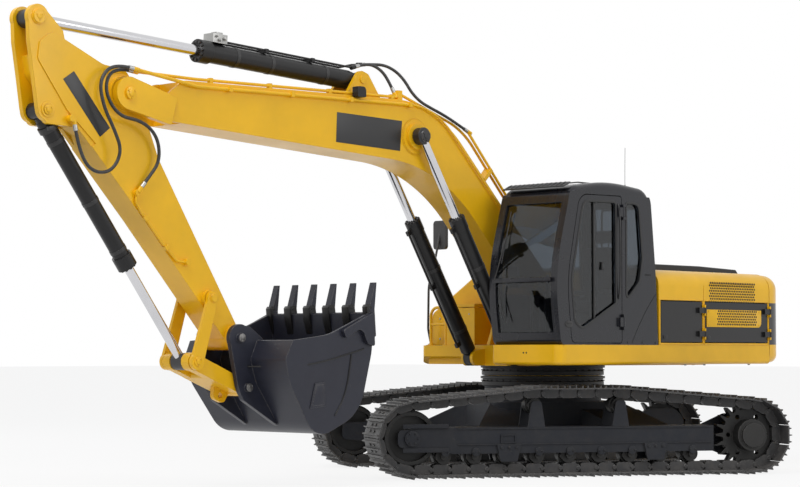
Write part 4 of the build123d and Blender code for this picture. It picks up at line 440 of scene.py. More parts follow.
zinc = paint("zinc_plate", (0.42, 0.42, 0.41), 0.36, dust=0.2, wear=0.3, edge=0.003,
             dust_colour=(0.3, 0.29, 0.27), bare=(0.55, 0.54, 0.53), metallic=0.9)
chrome = paint("rod_chrome", (0.66, 0.66, 0.68), 0.10, dust=0.08, wear=0.0, edge=0.002,
               dust_colour=(0.4, 0.4, 0.4), peel=40.0, metallic=1.0)

finish_nodes(
    yellow_paint, "boom", "arm", "bucket_link", "bucket_levers", "upper_frame", "counterweight",
    "house_panels", "fuel_tank", "tool_box", "tool_box_lid", "handrail", "boom_pipes", "arm_pipes",
)
finish_nodes(
    black_paint, "boom_cylinder_barrels", "arm_cylinder_barrel", "bucket_cylinder_barrel",
    "arm_cylinder_pipes", "engine_hood", "engine_block", "work_light",
    "left_front_door", "left_rear_door", "right_front_door", "right_rear_door",
)
finish_nodes(frame_paint, "car_body", "left_track_frame", "right_track_frame")
finish_nodes(cast_steel, "front_idlers", "drive_sprockets", "bottom_rollers", "carrier_rollers",
             "left_track", "right_track")
finish_nodes(
    cab_paint, "cab_floor", "cab_left_side", "cab_right_side", "cab_front", "cab_rear_wall",
    "cab_roof", "cab_door",
)
finish_nodes(bucket_paint, "bucket", "bucket_teeth")
finish_nodes(chrome, "boom_cylinder_rods", "arm_cylinder_rod", "bucket_cylinder_rod")


# ---------------------------------------------------------------- tracks
# Each track is 49 forged shoes with three grousers, bolted with four bolts to two rows of links and
# pinned into a loop. The loop hangs round the idler and the sprocket and over the carrier rollers.
undercarriage_turn = Matrix.Rotation(radians(-30.3), 4, "Z")
TRACK_Y, SHOE_COUNT = 1.19, 49
IDLER_X, IDLER_Z, IDLER_RADIUS = 1.89, 0.412, 0.412
CARRIER_Z, CARRIER_RADIUS = 0.742, 0.2143


def new_piece(name, mesh, body, material=None, smooth_angle=30):
    """A finished mesh as a piece at the origin, riding on a body."""
    piece = bpy.data.objects.new(name, mesh)
    bpy.context.collection.objects.link(piece)
    if material:
        mesh.materials.clear()
        mesh.materials.append(material)
    if smooth_angle:
        mesh.shade_smooth()
        mesh.set_sharp_from_angle(angle=radians(smooth_angle))
    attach(piece, body)
    return piece


def mesh_of(bm, name, recalculate=True):
    """The mesh of a bmesh, its faces pointing outwards."""
    if recalculate:
        bmesh.ops.recalc_face_normals(bm, faces=bm.faces)
    mesh = bpy.data.meshes.new(name)
    bm.to_mesh(mesh)
    bm.free()
    return mesh


def from_side(a, b, c):
    """An outline in X and Z, extruded along Y."""
    return (a, c, b)


def from_above(a, b, c):
    """An outline in X and Y, extruded along Z."""
    return (a, b, c)


def from_front(a, b, c):
    """An outline in Y and Z, extruded along X."""
    return (c, a, b)


def new_solid(name, bm, body, material):
    """A finished bmesh as a piece that rides on a body."""
    return new_piece(name, mesh_of(bm, name), body, material)


def add_prism(bm, outline, low, high, lift=from_side, bevel=0.0):
    """Extrude a closed outline between two heights. lift places (a, b, height) in space."""
    rings = [[bm.verts.new(lift(a, b, c)) for a, b in outline] for c in (low, high)]
    faces = [bm.faces.new(rings[0]), bm.faces.new(rings[1])]
    count = len(outline)
    for i in range(count):
        j = (i + 1) % count
        faces.append(bm.faces.new((rings[0][i], rings[0][j], rings[1][j], rings[1][i])))
    if bevel:
        rims = list({e for f in faces[:2] for e in f.edges})
        bmesh.ops.recalc_face_normals(bm, faces=faces)
        bmesh.ops.bevel(bm, geom=rims, offset=bevel, segments=2, profile=0.6, affect="EDGES",
                        clamp_overlap=True)


def join_rings(bm, rings):
    """Faces between each two neighbours in a row of closed rings."""
    count = len(rings[0])
    for lower, upper in zip(rings, rings[1:]):
        for i in range(count):
            j = (i + 1) % count
            bm.faces.new((lower[i], lower[j], upper[j], upper[i]))


def round_outline(radius, sides, middle=(0, 0), turn=0.0):
    return [
        (middle[0] + radius * cos(turn + 2 * pi * i / sides),
         middle[1] + radius * sin(turn + 2 * pi * i / sides))
        for i in range(sides)
    ]


def rectangle(low, high):
    """The outline between two opposite corners."""
    return (low[:2], (high[0], low[1]), high[:2], (low[0], high[1]))


shoe_part = bmesh.new()
GROUSER_PROFILE = (
    (-0.1, 0.0), (-0.103, 0.012), (-0.082, 0.014), (-0.077, 0.038), (-0.067, 0.038),
    (-0.062, 0.015),
    (-0.008, 0.015), (-0.005, 0.045), (0.005, 0.045), (0.008, 0.015), (0.062, 0.015),
    (0.067, 0.038),
    (0.077, 0.038), (0.082, 0.012), (0.098, 0.010), (0.098, 0.0),
)
add_prism(shoe_part, GROUSER_PROFILE, -0.3, 0.3)
LINK_PROFILE = (
    (-0.112, -0.012), (-0.112, -0.062), (-0.088, -0.080), (-0.060, -0.093), (0.048, -0.093),
    (0.075, -0.078), (0.080, -0.040), (0.078, -0.001), (-0.085, -0.001),
)
for side in (-1, 1):
    near, far = sorted((side * 0.052, side * 0.097))
    add_prism(shoe_part, LINK_PROFILE, near, far)
    for x in (-0.035, 0.035):
        for y in (side * 0.064, side * 0.087):
            add_prism(shoe_part, round_outline(0.013, 6, (x, y)), 0.014, 0.026, lift=from_above)
add_prism(shoe_part, round_outline(0.021, 10, (-0.1, -0.040)), -0.108, 0.108)
shoe_mesh = mesh_of(shoe_part, "track_shoe")
shoe_source = bpy.data.objects.new("track_shoe_source", shoe_mesh)


def track_path(inset):
    """The hull round idler, sprocket and both carrier rollers, in the undercarriage's X and Z."""
    spots = []
    for x, z, radius in (
        (IDLER_X, IDLER_Z, IDLER_RADIUS), (-IDLER_X, IDLER_Z, IDLER_RADIUS),
        (0.54, CARRIER_Z, CARRIER_RADIUS), (-0.395, CARRIER_Z, CARRIER_RADIUS),
    ):
        spots += round_outline(radius - inset, 240, (x, z))
    spots = sorted(set(spots))
    hull = []
    for run in (spots, spots[::-1]):
        part = []
        for spot in run:
            while len(part) > 1 and (
                (part[-1][0] - part[-2][0]) * (spot[1] - part[-2][1])
                - (part[-1][1] - part[-2][1]) * (spot[0] - part[-2][0])
            ) <= 0:
                part.pop()
            part.append(spot)
        hull += part[:-1]
    return hull


def geometry_tree(name, inputs):
    """A Geometry Nodes tree with inputs (name, type, value). Returns it, its input and output."""
    tree = bpy.data.node_groups.new(name, "GeometryNodeTree")
    tree.interface.new_socket("Geometry", in_out="INPUT", socket_type="NodeSocketGeometry")
    tree.interface.new_socket("Geometry", in_out="OUTPUT", socket_type="NodeSocketGeometry")
    for socket, kind, value in inputs:
        made = tree.interface.new_socket(socket, in_out="INPUT", socket_type=kind)
        if value is not None:
            made.default_value = value
    return tree, tree.nodes.new("NodeGroupInput"), tree.nodes.new("NodeGroupOutput")


def grown(name, seed_mesh, tree, values):
    """The plain mesh that a tree makes from seed_mesh. values are the modifier's inputs by name."""
    seed = bpy.data.objects.new(name, seed_mesh)
    bpy.context.collection.objects.link(seed)
    modifier = seed.modifiers.new(name, "NODES")
    modifier.node_group = tree
    for item in tree.interface.items_tree:
        if item.item_type == "SOCKET" and item.in_out == "INPUT" and item.name in values:
            modifier[item.identifier] = values[item.name]
    bpy.context.view_layer.update()
    graph = bpy.context.evaluated_depsgraph_get()
    mesh = bpy.data.meshes.new_from_object(seed.evaluated_get(graph))
    bpy.data.objects.remove(seed)
    return mesh


def finish_tree(tree, geometry, group_in, group_out):
    """Realize the instances and set the tree's material."""
    realize = tree.nodes.new("GeometryNodeRealizeInstances")
    tree.links.new(geometry, realize.inputs[0])
    dressed = tree.nodes.new("GeometryNodeSetMaterial")
    tree.links.new(realize.outputs[0], dressed.inputs["Geometry"])
    tree.links.new(group_in.outputs["Material"], dressed.inputs["Material"])
    tree.links.new(dressed.outputs[0], group_out.inputs[0])


chain_tree, group_in, group_out = geometry_tree("chain_round_path", (
    ("Link", "NodeSocketObject", None), ("Count", "NodeSocketInt", SHOE_COUNT),
    ("Material", "NodeSocketMaterial", None),
))
nodes, links = chain_tree.nodes, chain_tree.links
as_curve = nodes.new("GeometryNodeMeshToCurve")
links.new(group_in.outputs["Geometry"], as_curve.inputs["Mesh"])
evenly = nodes.new("GeometryNodeResampleCurve")
links.new(as_curve.outputs[0], evenly.inputs["Curve"])
links.new(group_in.outputs["Count"], evenly.inputs["Count"])
along = nodes.new("GeometryNodeInputTangent")
outward = nodes.new("ShaderNodeVectorMath")
outward.operation = "CROSS_PRODUCT"
links.new(along.outputs[0], outward.inputs[0])
outward.inputs[1].default_value = (0, -1, 0)
face_along = nodes.new("FunctionNodeAlignRotationToVector")
face_along.axis = "X"
links.new(along.outputs[0], face_along.inputs["Vector"])
face_out = nodes.new("FunctionNodeAlignRotationToVector")
face_out.axis, face_out.pivot_axis = "Z", "X"
links.new(face_along.outputs[0], face_out.inputs["Rotation"])
links.new(outward.outputs[0], face_out.inputs["Vector"])
source = nodes.new("GeometryNodeObjectInfo")
links.new(group_in.outputs["Link"], source.inputs["Object"])
placed = nodes.new("GeometryNodeInstanceOnPoints")
links.new(evenly.outputs[0], placed.inputs["Points"])
links.new(source.outputs["Geometry"], placed.inputs["Instance"])
links.new(face_out.outputs[0], placed.inputs["Rotation"])
finish_tree(chain_tree, placed.outputs[0], group_in, group_out)

track_steel = paint("track_steel", (0.034, 0.034, 0.036), 0.46, dust=0.5, wear=1.0, edge=0.005,
                    dust_colour=(0.15, 0.14, 0.13), bare=(0.24, 0.235, 0.23), peel=90.0)
for side, middle in (("left", TRACK_Y), ("right", -TRACK_Y)):
    loop = bmesh.new()
    ring = [loop.verts.new((x, middle, z)) for x, z in track_path(0.046)]
    for first, second in zip(ring, ring[1:] + ring[:1]):
        loop.edges.new((first, second))
    mesh = grown(f"{side}_shoes", mesh_of(loop, f"{side}_loop", False), chain_tree,
                 {"Link": shoe_source, "Count": SHOE_COUNT, "Material": track_steel})
    mesh.transform(undercarriage_turn)
    piece = new_piece(f"{side}_track_shoes", mesh, "undercarriage")
    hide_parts(f"{side}_track")


# ---------------------------------------------------------------- bolts
# Hexagon bolts on washers hold the covers, hubs and glands. One tree sets a bolt at each given
# point, whether the points lie on a bolt circle or in a row.
hex_bolt = bmesh.new()
add_prism(hex_bolt, round_outline(1.25, 10), 0.0, 0.22, lift=from_above)
add_prism(hex_bolt, round_outline(1.0, 6), 0.22, 0.95, lift=from_above, bevel=0.12)
bolt_source = bpy.data.objects.new("bolt_source", mesh_of(hex_bolt, "hex_bolt"))

bolt_tree, group_in, group_out = geometry_tree("bolts_on_points", (
    ("Bolt", "NodeSocketObject", None), ("Size", "NodeSocketFloat", 0.01),
    ("Facing", "NodeSocketVector", (0, 0, 1)), ("Material", "NodeSocketMaterial", None),
))
nodes, links = bolt_tree.nodes, bolt_tree.links
source = nodes.new("GeometryNodeObjectInfo")
links.new(group_in.outputs["Bolt"], source.inputs["Object"])
facing = nodes.new("FunctionNodeAlignRotationToVector")
facing.axis = "Z"
links.new(group_in.outputs["Facing"], facing.inputs["Vector"])
placed = nodes.new("GeometryNodeInstanceOnPoints")
links.new(group_in.outputs["Geometry"], placed.inputs["Points"])
links.new(source.outputs["Geometry"], placed.inputs["Instance"])
links.new(facing.outputs[0], placed.inputs["Rotation"])
links.new(group_in.outputs["Size"], placed.inputs["Scale"])
finish_tree(bolt_tree, placed.outputs[0], group_in, group_out)


def add_bolts(name, body, groups, material, turn=None):
    """Bolts as one piece. Each group is (points, facing, radius of a bolt's head)."""
    joined = bmesh.new()
    for number, (points, direction, size) in enumerate(groups):
        seeds = bpy.data.meshes.new(f"{name}_{number}")
        seeds.from_pydata([tuple(point) for point in points], [], [])
        mesh = grown(f"{name}_{number}", seeds, bolt_tree, {
            "Bolt": bolt_source, "Size": size, "Facing": direction, "Material": material,
        })
        joined.from_mesh(mesh)
    mesh = mesh_of(joined, name, False)
    if turn:
        mesh.transform(turn)
    return new_piece(name, mesh, body, material)


def bolt_circle(centre, radius, count, across="y"):
    """Points on a circle about an axis along Y, or along Z for across z."""
    x, y, z = centre
    angles = [2 * pi * i / count for i in range(count)]
    if across == "y":
        return [(x + radius * cos(a), y, z + radius * sin(a)) for a in angles]
    return [(x + radius * cos(a), y + radius * sin(a), z) for a in angles]


# ---------------------------------------------------------------- side frames and running gear
# Welded box frames with bolted guards, a bolted cover on each roller's axle and a bolted cap on
# each idler.
ROLLERS = (1.535, 1.205, 0.860, 0.515, 0.170, -0.175, -0.520, -0.865, -1.210)
ROLLER_Z = 0.268
gear = bmesh.new()
gear_bolts = []
for sign in (-1, 1):
    middle = sign * TRACK_Y
    face = middle + sign * 0.165
    skin = face + sign * 0.0005
    near, far = sorted((skin, face + sign * 0.014))
    for x in ROLLERS:
        add_prism(gear, round_outline(0.046, 20, (x, ROLLER_Z)), near, far, bevel=0.004)
        cover = far if sign > 0 else near
        gear_bolts.append(
            ([(x - 0.03, cover, ROLLER_Z), (x + 0.03, cover, ROLLER_Z)], (0, sign, 0), 0.011))
    # Inspection pocket, its rim standing off the frame's side
    rim = sorted((skin, face + sign * 0.012))
    for low, high in (((0.77, 0.355), (0.935, 0.368)), ((0.77, 0.432), (0.935, 0.445)),
                      ((0.77, 0.368), (0.783, 0.432)), ((0.922, 0.368), (0.935, 0.432))):
        box_outline = rectangle(low, high)
        add_prism(gear, box_outline, *rim)
    # Stiffening ribs along the side
    for z in (0.500, 0.338):
        add_prism(gear, rectangle((-1.42, z), (1.40, z + 0.012)),
                  *sorted((skin, face + sign * 0.010)))
    # Idler's axle cap and guide blocks
    cap = sorted((middle + sign * 0.1655, middle + sign * 0.19))
    add_prism(gear, round_outline(0.082, 28, (IDLER_X, IDLER_Z)), *cap, bevel=0.008)
    gear_bolts.append(
        (bolt_circle((IDLER_X, middle + sign * 0.19, IDLER_Z), 0.058, 6), (0, sign, 0), 0.010))
    for z in (0.515, 0.268):
        add_prism(gear, rectangle((1.50, z), (1.99, z + 0.045)),
                  *sorted((skin, face + sign * 0.020)), bevel=0.004)
# Bolts of the guards
for x in (0.85, -0.78):
    for sign in (-1, 1):
        side = sign * (TRACK_Y + 0.19)
        gear_bolts.append(([(x - 0.08, side, 0.31), (x + 0.08, side, 0.31), (x, side, 0.31)],
                           (0, sign, 0), 0.014))
mesh = mesh_of(gear, "side_frame_fittings")
mesh.transform(undercarriage_turn)
new_piece("side_frame_fittings", mesh, "undercarriage", frame_paint)
add_bolts("side_frame_bolts", "undercarriage", gear_bolts, frame_paint,
          undercarriage_turn)


# ---------------------------------------------------------------- slewing ring
# A forged ring in two halves under the deck, each bolted down all round. The lower half stays with
# the undercarriage, the upper one turns with the deck.
def lathe(bm, profile, centre=(0, 0), sides=96, cap=False):
    """Turn (radius, height) points about a vertical axis. The profile runs up the outside."""
    rings = []
    for radius, z in profile:
        rings.append([
            bm.verts.new((centre[0] + radius * cos(2 * pi * i / sides),
                          centre[1] + radius * sin(2 * pi * i / sides), z))
            for i in range(sides)
        ])
    join_rings(bm, rings)
    if cap:
        bm.faces.new(rings[0])
        bm.faces.new(rings[-1])


ring_black = paint("ring_black", (0.012, 0.012, 0.013), 0.42, dust=0.15, wear=0.3, edge=0.004,
                   dust_colour=(0.08, 0.075, 0.07), shine=0.3)
for name, body, low, high, radius in (
    ("slew_ring_lower", "undercarriage", 0.9315, 1.036, 0.6655),
    ("slew_ring_upper", "superstructure", 1.046, 1.155, 0.6655),
):
    ring = bmesh.new()
    lathe(ring, (
        (radius, low), (radius + 0.012, low + 0.004), (radius + 0.012, low + 0.045),
        (radius + 0.002, low + 0.052), (radius + 0.002, high - 0.03),
        (radius + 0.024, high - 0.026),
        (radius + 0.024, high - 0.002), (radius, high), (radius, low),
    ))
    bmesh.ops.remove_doubles(ring, verts=ring.verts, dist=0.00001)
    new_solid(name, ring, body, ring_black)
    add_bolts(name + "_bolts", body, [
        ([(x, y, low + 0.052) for x, y, _ in bolt_circle((0, 0, 0), radius + 0.007, 44, "z")],
         (0, 0, 1), 0.0115),
    ], ring_black)

# ---------------------------------------------------------------- side panels and grilles
# Sheet steel sprayed yellow, with black doors between. Air leaves the rear panel through two fields
# of punched holes, the lower one in a yellow plate bolted to the rear door. The holes are drawn as
# near-black discs: painted shade for the dark inside seen through them.
door_black = paint("door_black", (0.012, 0.012, 0.013), 0.26, dust=0.03, wear=0.04, coat=0.1,
                   dust_colour=(0.10, 0.10, 0.095), shine=0.3)
finish_nodes(door_black, "left_front_door", "left_rear_door", "right_front_door", "right_rear_door")

tail_paint, tail_shader, nodes, links = new_material("banded_tail_paint", 0.3)
tail_shader.inputs["Coat Weight"].default_value = 0.2
tail_shader.inputs["Coat Roughness"].default_value = 0.08
where = nodes.new("ShaderNodeSeparateXYZ")
links.new(object_place(nodes), where.inputs[0])
over = add_math(nodes, links, "GREATER_THAN", where.outputs["Z"], 1.384)
under = add_math(nodes, links, "LESS_THAN", where.outputs["Z"], 1.862)
beside = add_math(nodes, links, "GREATER_THAN",
                  add_math(nodes, links, "ABSOLUTE", where.outputs["Y"]),
                  1.16)
band = add_math(nodes, links, "MULTIPLY", add_math(nodes, links, "MULTIPLY", over, under), beside)
film = nodes.new("ShaderNodeGroup")
film.node_tree = worn_paint
links.new(add_blend(nodes, links, band, YELLOW, (0.012, 0.012, 0.013)), film.inputs["Paint"])
for socket, value in (("Gloss Roughness", 0.3), ("Dust Amount", 0.05), ("Wear", 0.08)):
    film.inputs[socket].default_value = value
for socket, target in (("Color", "Base Color"), ("Roughness", "Roughness"), ("Normal", "Normal")):
    links.new(film.outputs[socket], tail_shader.inputs[target])
finish_nodes(tail_paint, "counterweight")

hole_tree, group_in, group_out = geometry_tree("punched_holes", (
    ("Width", "NodeSocketFloat", 0.5), ("Height", "NodeSocketFloat", 0.2),
    ("Pitch", "NodeSocketFloat", 0.03), ("Hole Radius", "NodeSocketFloat", 0.01),
    ("Material", "NodeSocketMaterial", None),
))
nodes, links = hole_tree.nodes, hole_tree.links
ROOT_THREE = 1.732
fields = []
for shift in (0.0, 0.5):
    grid = nodes.new("GeometryNodeMeshGrid")
    links.new(group_in.outputs["Width"], grid.inputs["Size X"])
    links.new(group_in.outputs["Height"], grid.inputs["Size Y"])
    columns = add_math(nodes, links, "DIVIDE", group_in.outputs["Width"], group_in.outputs["Pitch"])
    rows = add_math(nodes, links, "DIVIDE", group_in.outputs["Height"],
                    add_math(nodes, links, "MULTIPLY", group_in.outputs["Pitch"], ROOT_THREE))
    columns = add_math(nodes, links, "ADD", add_math(nodes, links, "ROUND", columns), 1)
    rows = add_math(nodes, links, "ADD", add_math(nodes, links, "ROUND", rows), 1)
    links.new(columns, grid.inputs["Vertices X"])
    links.new(rows, grid.inputs["Vertices Y"])
    moved = nodes.new("GeometryNodeTransform")
    links.new(grid.outputs["Mesh"], moved.inputs["Geometry"])
    offset = nodes.new("ShaderNodeCombineXYZ")
    links.new(add_math(nodes, links, "MULTIPLY", group_in.outputs["Pitch"], shift),
              offset.inputs[0])
    links.new(add_math(nodes, links, "MULTIPLY", group_in.outputs["Pitch"], shift * ROOT_THREE),
              offset.inputs[1])
    links.new(offset.outputs[0], moved.inputs["Translation"])
    fields.append(moved)
both_fields = nodes.new("GeometryNodeJoinGeometry")
for moved in fields:
    links.new(moved.outputs[0], both_fields.inputs[0])
disc_shape = nodes.new("GeometryNodeMeshCircle")
disc_shape.fill_type = "NGON"
disc_shape.inputs["Vertices"].default_value = 8
links.new(group_in.outputs["Hole Radius"], disc_shape.inputs["Radius"])
placed = nodes.new("GeometryNodeInstanceOnPoints")
links.new(both_fields.outputs[0], placed.inputs["Points"])
links.new(disc_shape.outputs[0], placed.inputs["Instance"])
finish_tree(hole_tree, placed.outputs[0], group_in, group_out)

# Near-black painted shade for holes and slots, standing in for the dark inside seen through them.
# The cab's panel seam also uses this material, as a dark joint.
hole_shade_and_seam_dark, _, _, _ = new_material("painted_hole_shade_and_seam", 0.8, colour=(0.006, 0.006, 0.006))
for side, sign in (("left", 1), ("right", -1)):
    for name, body, x, z, width, height, stand in (
        ("upper", "superstructure", -1.69, 1.951, 0.84, 0.1766, 0.0008),
        ("lower", f"{side}_rear_door", -1.77, 1.668, 0.72, 0.1178, 0.0078),
    ):
        seed = bpy.data.meshes.new("seed")
        seed.from_pydata([(0, 0, 0)], [], [])
        mesh = grown(f"{side}_{name}_holes", seed, hole_tree, {
            "Width": width, "Height": height, "Pitch": 0.034, "Hole Radius": 0.0125,
            "Material": hole_shade_and_seam_dark,
        })
        stand_up = Matrix.Rotation(radians(90), 4, "X") if sign < 0 else (
            Matrix.Rotation(radians(180), 4, "Z") @ Matrix.Rotation(radians(90), 4, "X"))
        mesh.transform(Matrix.Translation((x, sign * (1.355 + stand), z)) @ stand_up)
        new_piece(f"{side}_{name}_grille", mesh, body, smooth_angle=0)
    plate = bmesh.new()
    corners = [(-2.25, 1.772), (-2.25, 1.64)]
    corners += [(-2.19 + 0.06 * cos(a), 1.638 + 0.06 * sin(a))
                for a in (pi + pi / 2 * i / 6 for i in range(7))]
    corners += [(-1.205, 1.578), (-1.205, 1.772)]
    add_prism(plate, corners, *sorted((sign * 1.3555, sign * 1.3622)), bevel=0.0015)
    new_solid(f"{side}_grille_plate", plate, f"{side}_rear_door", yellow_paint)
    add_bolts(f"{side}_grille_bolts", f"{side}_rear_door", [
        ([(x, sign * 1.3622, z) for x in (-2.2, -1.24) for z in (1.60, 1.75)], (0, sign, 0), 0.006),
    ], yellow_paint)

# Raised frames round the doors' openings, and a flush latch on each door
for side, sign in (("left", 1), ("right", -1)):
    trim = bmesh.new()
    for low_x, high_x in ((-2.405, -1.163), (-1.147, -0.352)):
        for low, high in (
            ((low_x, 1.379), (high_x, 1.3845)), ((low_x, 1.8645), (high_x, 1.870)),
            ((low_x, 1.3845), (low_x + 0.006, 1.8645)),
            ((high_x - 0.006, 1.3845), (high_x, 1.8645)),
        ):
            outline = rectangle(low, high)
            add_prism(trim, outline, *sorted((sign * 1.3553, sign * 1.3595)))
    new_solid(f"{side}_door_frames", trim, "superstructure", yellow_paint)
    for name, x in (("front", -0.45), ("rear", -1.235)):
        latch = bmesh.new()
        z = 1.46
        near, far = sorted((sign * 1.3555, sign * 1.3605))
        add_prism(latch, rectangle((x - 0.035, z - 0.022), (x + 0.035, z + 0.022)), near, far,
                  bevel=0.0015)
        add_prism(latch, round_outline(0.009, 14, (x + 0.02, z)),
                  *sorted((sign * 1.3605, sign * 1.3635)), bevel=0.001)
        new_solid(f"{side}_{name}_latch", latch, f"{side}_{name}_door", black_paint)

# Bolts under the skirt and the tail, and two small holes in the skirt's front, drawn as near-black
# discs of painted shade
add_bolts("skirt_bolts", "superstructure", [
    ([(x, y, 1.165) for x in (-0.9, -1.25, -2.1) for y in (-1.29, 1.29)], (0, 0, -1), 0.014),
    ([(-2.30, y, 1.165) for y in (-0.36, -0.2, 0.2, 0.36)], (0, 0, -1), 0.02),
], zinc)
skirt_holes = bmesh.new()
for y in (0.86, 0.90):
    add_prism(skirt_holes, round_outline(0.010, 14, (y, 1.292)), 1.3146, 1.3156, lift=from_front)
new_solid("skirt_holes", skirt_holes, "superstructure", hole_shade_and_seam_dark)

# ---------------------------------------------------------------- hood and deck fittings
# The hood is pressed sheet with a raised rib along each side. The deck has tread plates, the
# handrail's feet and a filler cap on the tank.
hood = bmesh.new()
for y in (-0.78, 0.78):
    add_prism(hood, rectangle((-2.20, y - 0.012), (-0.95, y + 0.012)),
              2.2695, 2.2745, lift=lambda a, b, c: (a, b, c if a > -1.7 else c - 0.010),
              bevel=0.002)
new_solid("hood_ribs", hood, "engine_hood", black_paint)
add_bolts("hood_bolts", "engine_hood", [
    ([(-0.474, y, 2.216) for y in (-0.7, -0.35, 0.0, 0.35, 0.7)], (1, 0, 0), 0.008),
], zinc)

grip, grip_shader, nodes, links = new_material("tread_plate", 0.7, colour=(0.028, 0.028, 0.028))
roughen(nodes, links, grip_shader, add_noise(nodes, links, object_place(nodes), 900, 1), 0.002)
treads = bmesh.new()
for low, high in (((0.40, -1.26), (0.56, -0.93)), ((0.66, -0.40), (0.69, 0.40))):
    outline = rectangle(low, high)
    add_prism(treads, outline, 1.3755, 1.3795, lift=from_above, bevel=0.001)
new_solid("deck_treads", treads, "superstructure", grip)

cap = bmesh.new()
lathe(cap, ((0.078, 2.1355), (0.078, 2.150), (0.062, 2.152), (0.062, 2.182), (0.056, 2.190)),
      (0.1, -0.62), 40, cap=True)
add_prism(cap, rectangle((0.045, -0.627), (0.155, -0.613)), 2.189, 2.199,
          lift=from_above, bevel=0.002)
new_solid("filler_cap", cap, "superstructure", black_paint)
add_bolts("deck_bolts", "superstructure", [
    ([(0.6, y, 1.3755) for y in (-1.178, -1.102, -0.943, -0.867)], (0, 0, 1), 0.008),
    ([(0.6405, y, 1.72) for y in (-0.80, -0.52)], (1, 0, 0), 0.007),
    ([(0.3855, y, z) for y in (-1.2, -0.95) for z in (1.45, 1.68)], (1, 0, 0), 0.009),
], zinc)
rail_feet = bmesh.new()
for y in (-1.14, -0.905):
    lathe(rail_feet,
          ((0.045, 1.3755), (0.045, 1.3835), (0.024, 1.387), (0.022, 1.40), (0.0175, 1.402)),
          (0.6, y), 28, cap=True)
new_solid("rail_feet", rail_feet, "superstructure", yellow_paint)

# Mirror: a moulded black shell on its pole, with a silvered glass that looks back to the cab
mirror_silver, _, _, _ = new_material("mirror_silver", 0.03, 1.0, (0.75, 0.77, 0.78))
plastic, plastic_shader, nodes, links = new_material("black_plastic", 0.5)
plastic_place = object_place(nodes)
links.new(add_blend(nodes, links, add_noise(nodes, links, plastic_place, 9, 4),
                    (0.016, 0.016, 0.017), (0.034, 0.034, 0.035)),
                    plastic_shader.inputs["Base Color"])
roughen(nodes, links, plastic_shader, add_noise(nodes, links, plastic_place, 700, 2), 0.0006)
finish_nodes(plastic, "right_mirror", "cab_controls")
glass_pane = bmesh.new()
add_prism(glass_pane, rectangle((-1.368, 2.495), (-1.212, 2.785)), 0.2558, 0.2568, lift=from_front)
new_solid("mirror_glass", glass_pane, "superstructure", mirror_silver)


# ---------------------------------------------------------------- cab windows
# Tinted safety glass set in moulded rubber. The door's glass is in two halves with a bar between
# them, and the windscreen is split low down.
def rounded_line(corners, steps=6):
    """The points of a closed line whose corners (x, z, radius) are rounded."""
    points = []
    count = len(corners)
    for i, (x, z, radius) in enumerate(corners):
        here = Vector((x, z))
        before = Vector(corners[i - 1][:2]) - here
        after = Vector(corners[(i + 1) % count][:2]) - here
        half = before.angle(after) / 2
        if radius == 0 or half > 1.56:
            points.append(here)
            continue
        reach = min(radius / tan(half), before.length * 0.49, after.length * 0.49)
        start, end = here + before.normalized() * reach, here + after.normalized() * reach
        for step in range(steps + 1):
            t = step / steps
            points.append(start * (1 - t) ** 2 + here * 2 * t * (1 - t) + end * t * t)
    return points


def inset_line(points, inset):
    """The same closed line, moved inwards."""
    area = sum(a.cross(b) for a, b in zip(points, points[1:] + points[:1]))
    turn = 1 if area > 0 else -1
    moved = []
    for i, here in enumerate(points):
        along = (points[(i + 1) % len(points)] - points[i - 1]).normalized()
        moved.append(here + Vector((-along.y, along.x)) * inset * turn)
    return moved


def add_frame(bm, corners, width, low, high, lift=from_side, crown=0.0):
    """A strip of one width along a closed line, between two heights, its middle crowned."""
    line = rounded_line(corners)
    rings = [inset_line(line, width * part) for part in (0.0, 0.0, 0.5, 1.0, 1.0)]
    heights = (low, high - crown, high, high - crown, low) if high > low else (
        low, high + crown, high, high + crown, low)
    verts = [[bm.verts.new(lift(p.x, p.y, h)) for p in ring] for ring, h in zip(rings, heights)]
    verts.append(verts[0])
    join_rings(bm, verts)


rubber, rubber_shader, nodes, links = new_material("window_rubber", 0.6)
rubber_place = object_place(nodes)
links.new(add_blend(nodes, links, add_noise(nodes, links, rubber_place, 14, 5),
                    (0.010, 0.010, 0.010), (0.024, 0.024, 0.024)),
                    rubber_shader.inputs["Base Color"])
tinted, tinted_shader, nodes, links = new_material("tinted_glass", 0.02, 0.0, (0.20, 0.23, 0.26))
tinted_shader.inputs["Transmission Weight"].default_value = 1.0
tinted_shader.inputs["IOR"].default_value = 1.45
roughen(nodes, links, tinted_shader, add_noise(nodes, links, object_place(nodes), 2.5, 1), 0.0004)
finish_nodes(tinted, "windscreen", "cab_glass", "door_glass")

DOOR_PANE = ((0.392, 1.815, 0.04), (0.945, 1.545, 0.09), (1.070, 1.610, 0.09), (1.122, 2.050, 0.5),
             (0.926, 2.872, 0.12), (0.392, 2.882, 0.04))
QUARTER_PANE = ((0.214, 1.850, 0.04), (-0.010, 2.050, 0.1), (-0.060, 2.300, 0.2),
                (0.0, 2.882, 0.09),
                (0.214, 2.882, 0.03))
RIGHT_PANE = ((-0.150, 1.900, 0.06), (1.215, 1.900, 0.06), (1.210, 2.300, 0.3), (1.020, 2.882, 0.1),
              (-0.120, 2.882, 0.06))
for name, body, corners, low, high in (
    ("door_gasket", "cab_door", DOOR_PANE, 1.3535, 1.3615),
    ("quarter_gasket", "superstructure", QUARTER_PANE, 1.3535, 1.3615),
    ("right_gasket", "superstructure", RIGHT_PANE, 0.4265, 0.4185),
):
    strip = bmesh.new()
    grown_corners = inset_line(rounded_line(corners), -0.016)
    add_frame(strip, [(p.x, p.y, 0) for p in grown_corners], 0.026, low, high, crown=0.003)
    new_solid(name, strip, body, rubber)
rear_strip = bmesh.new()
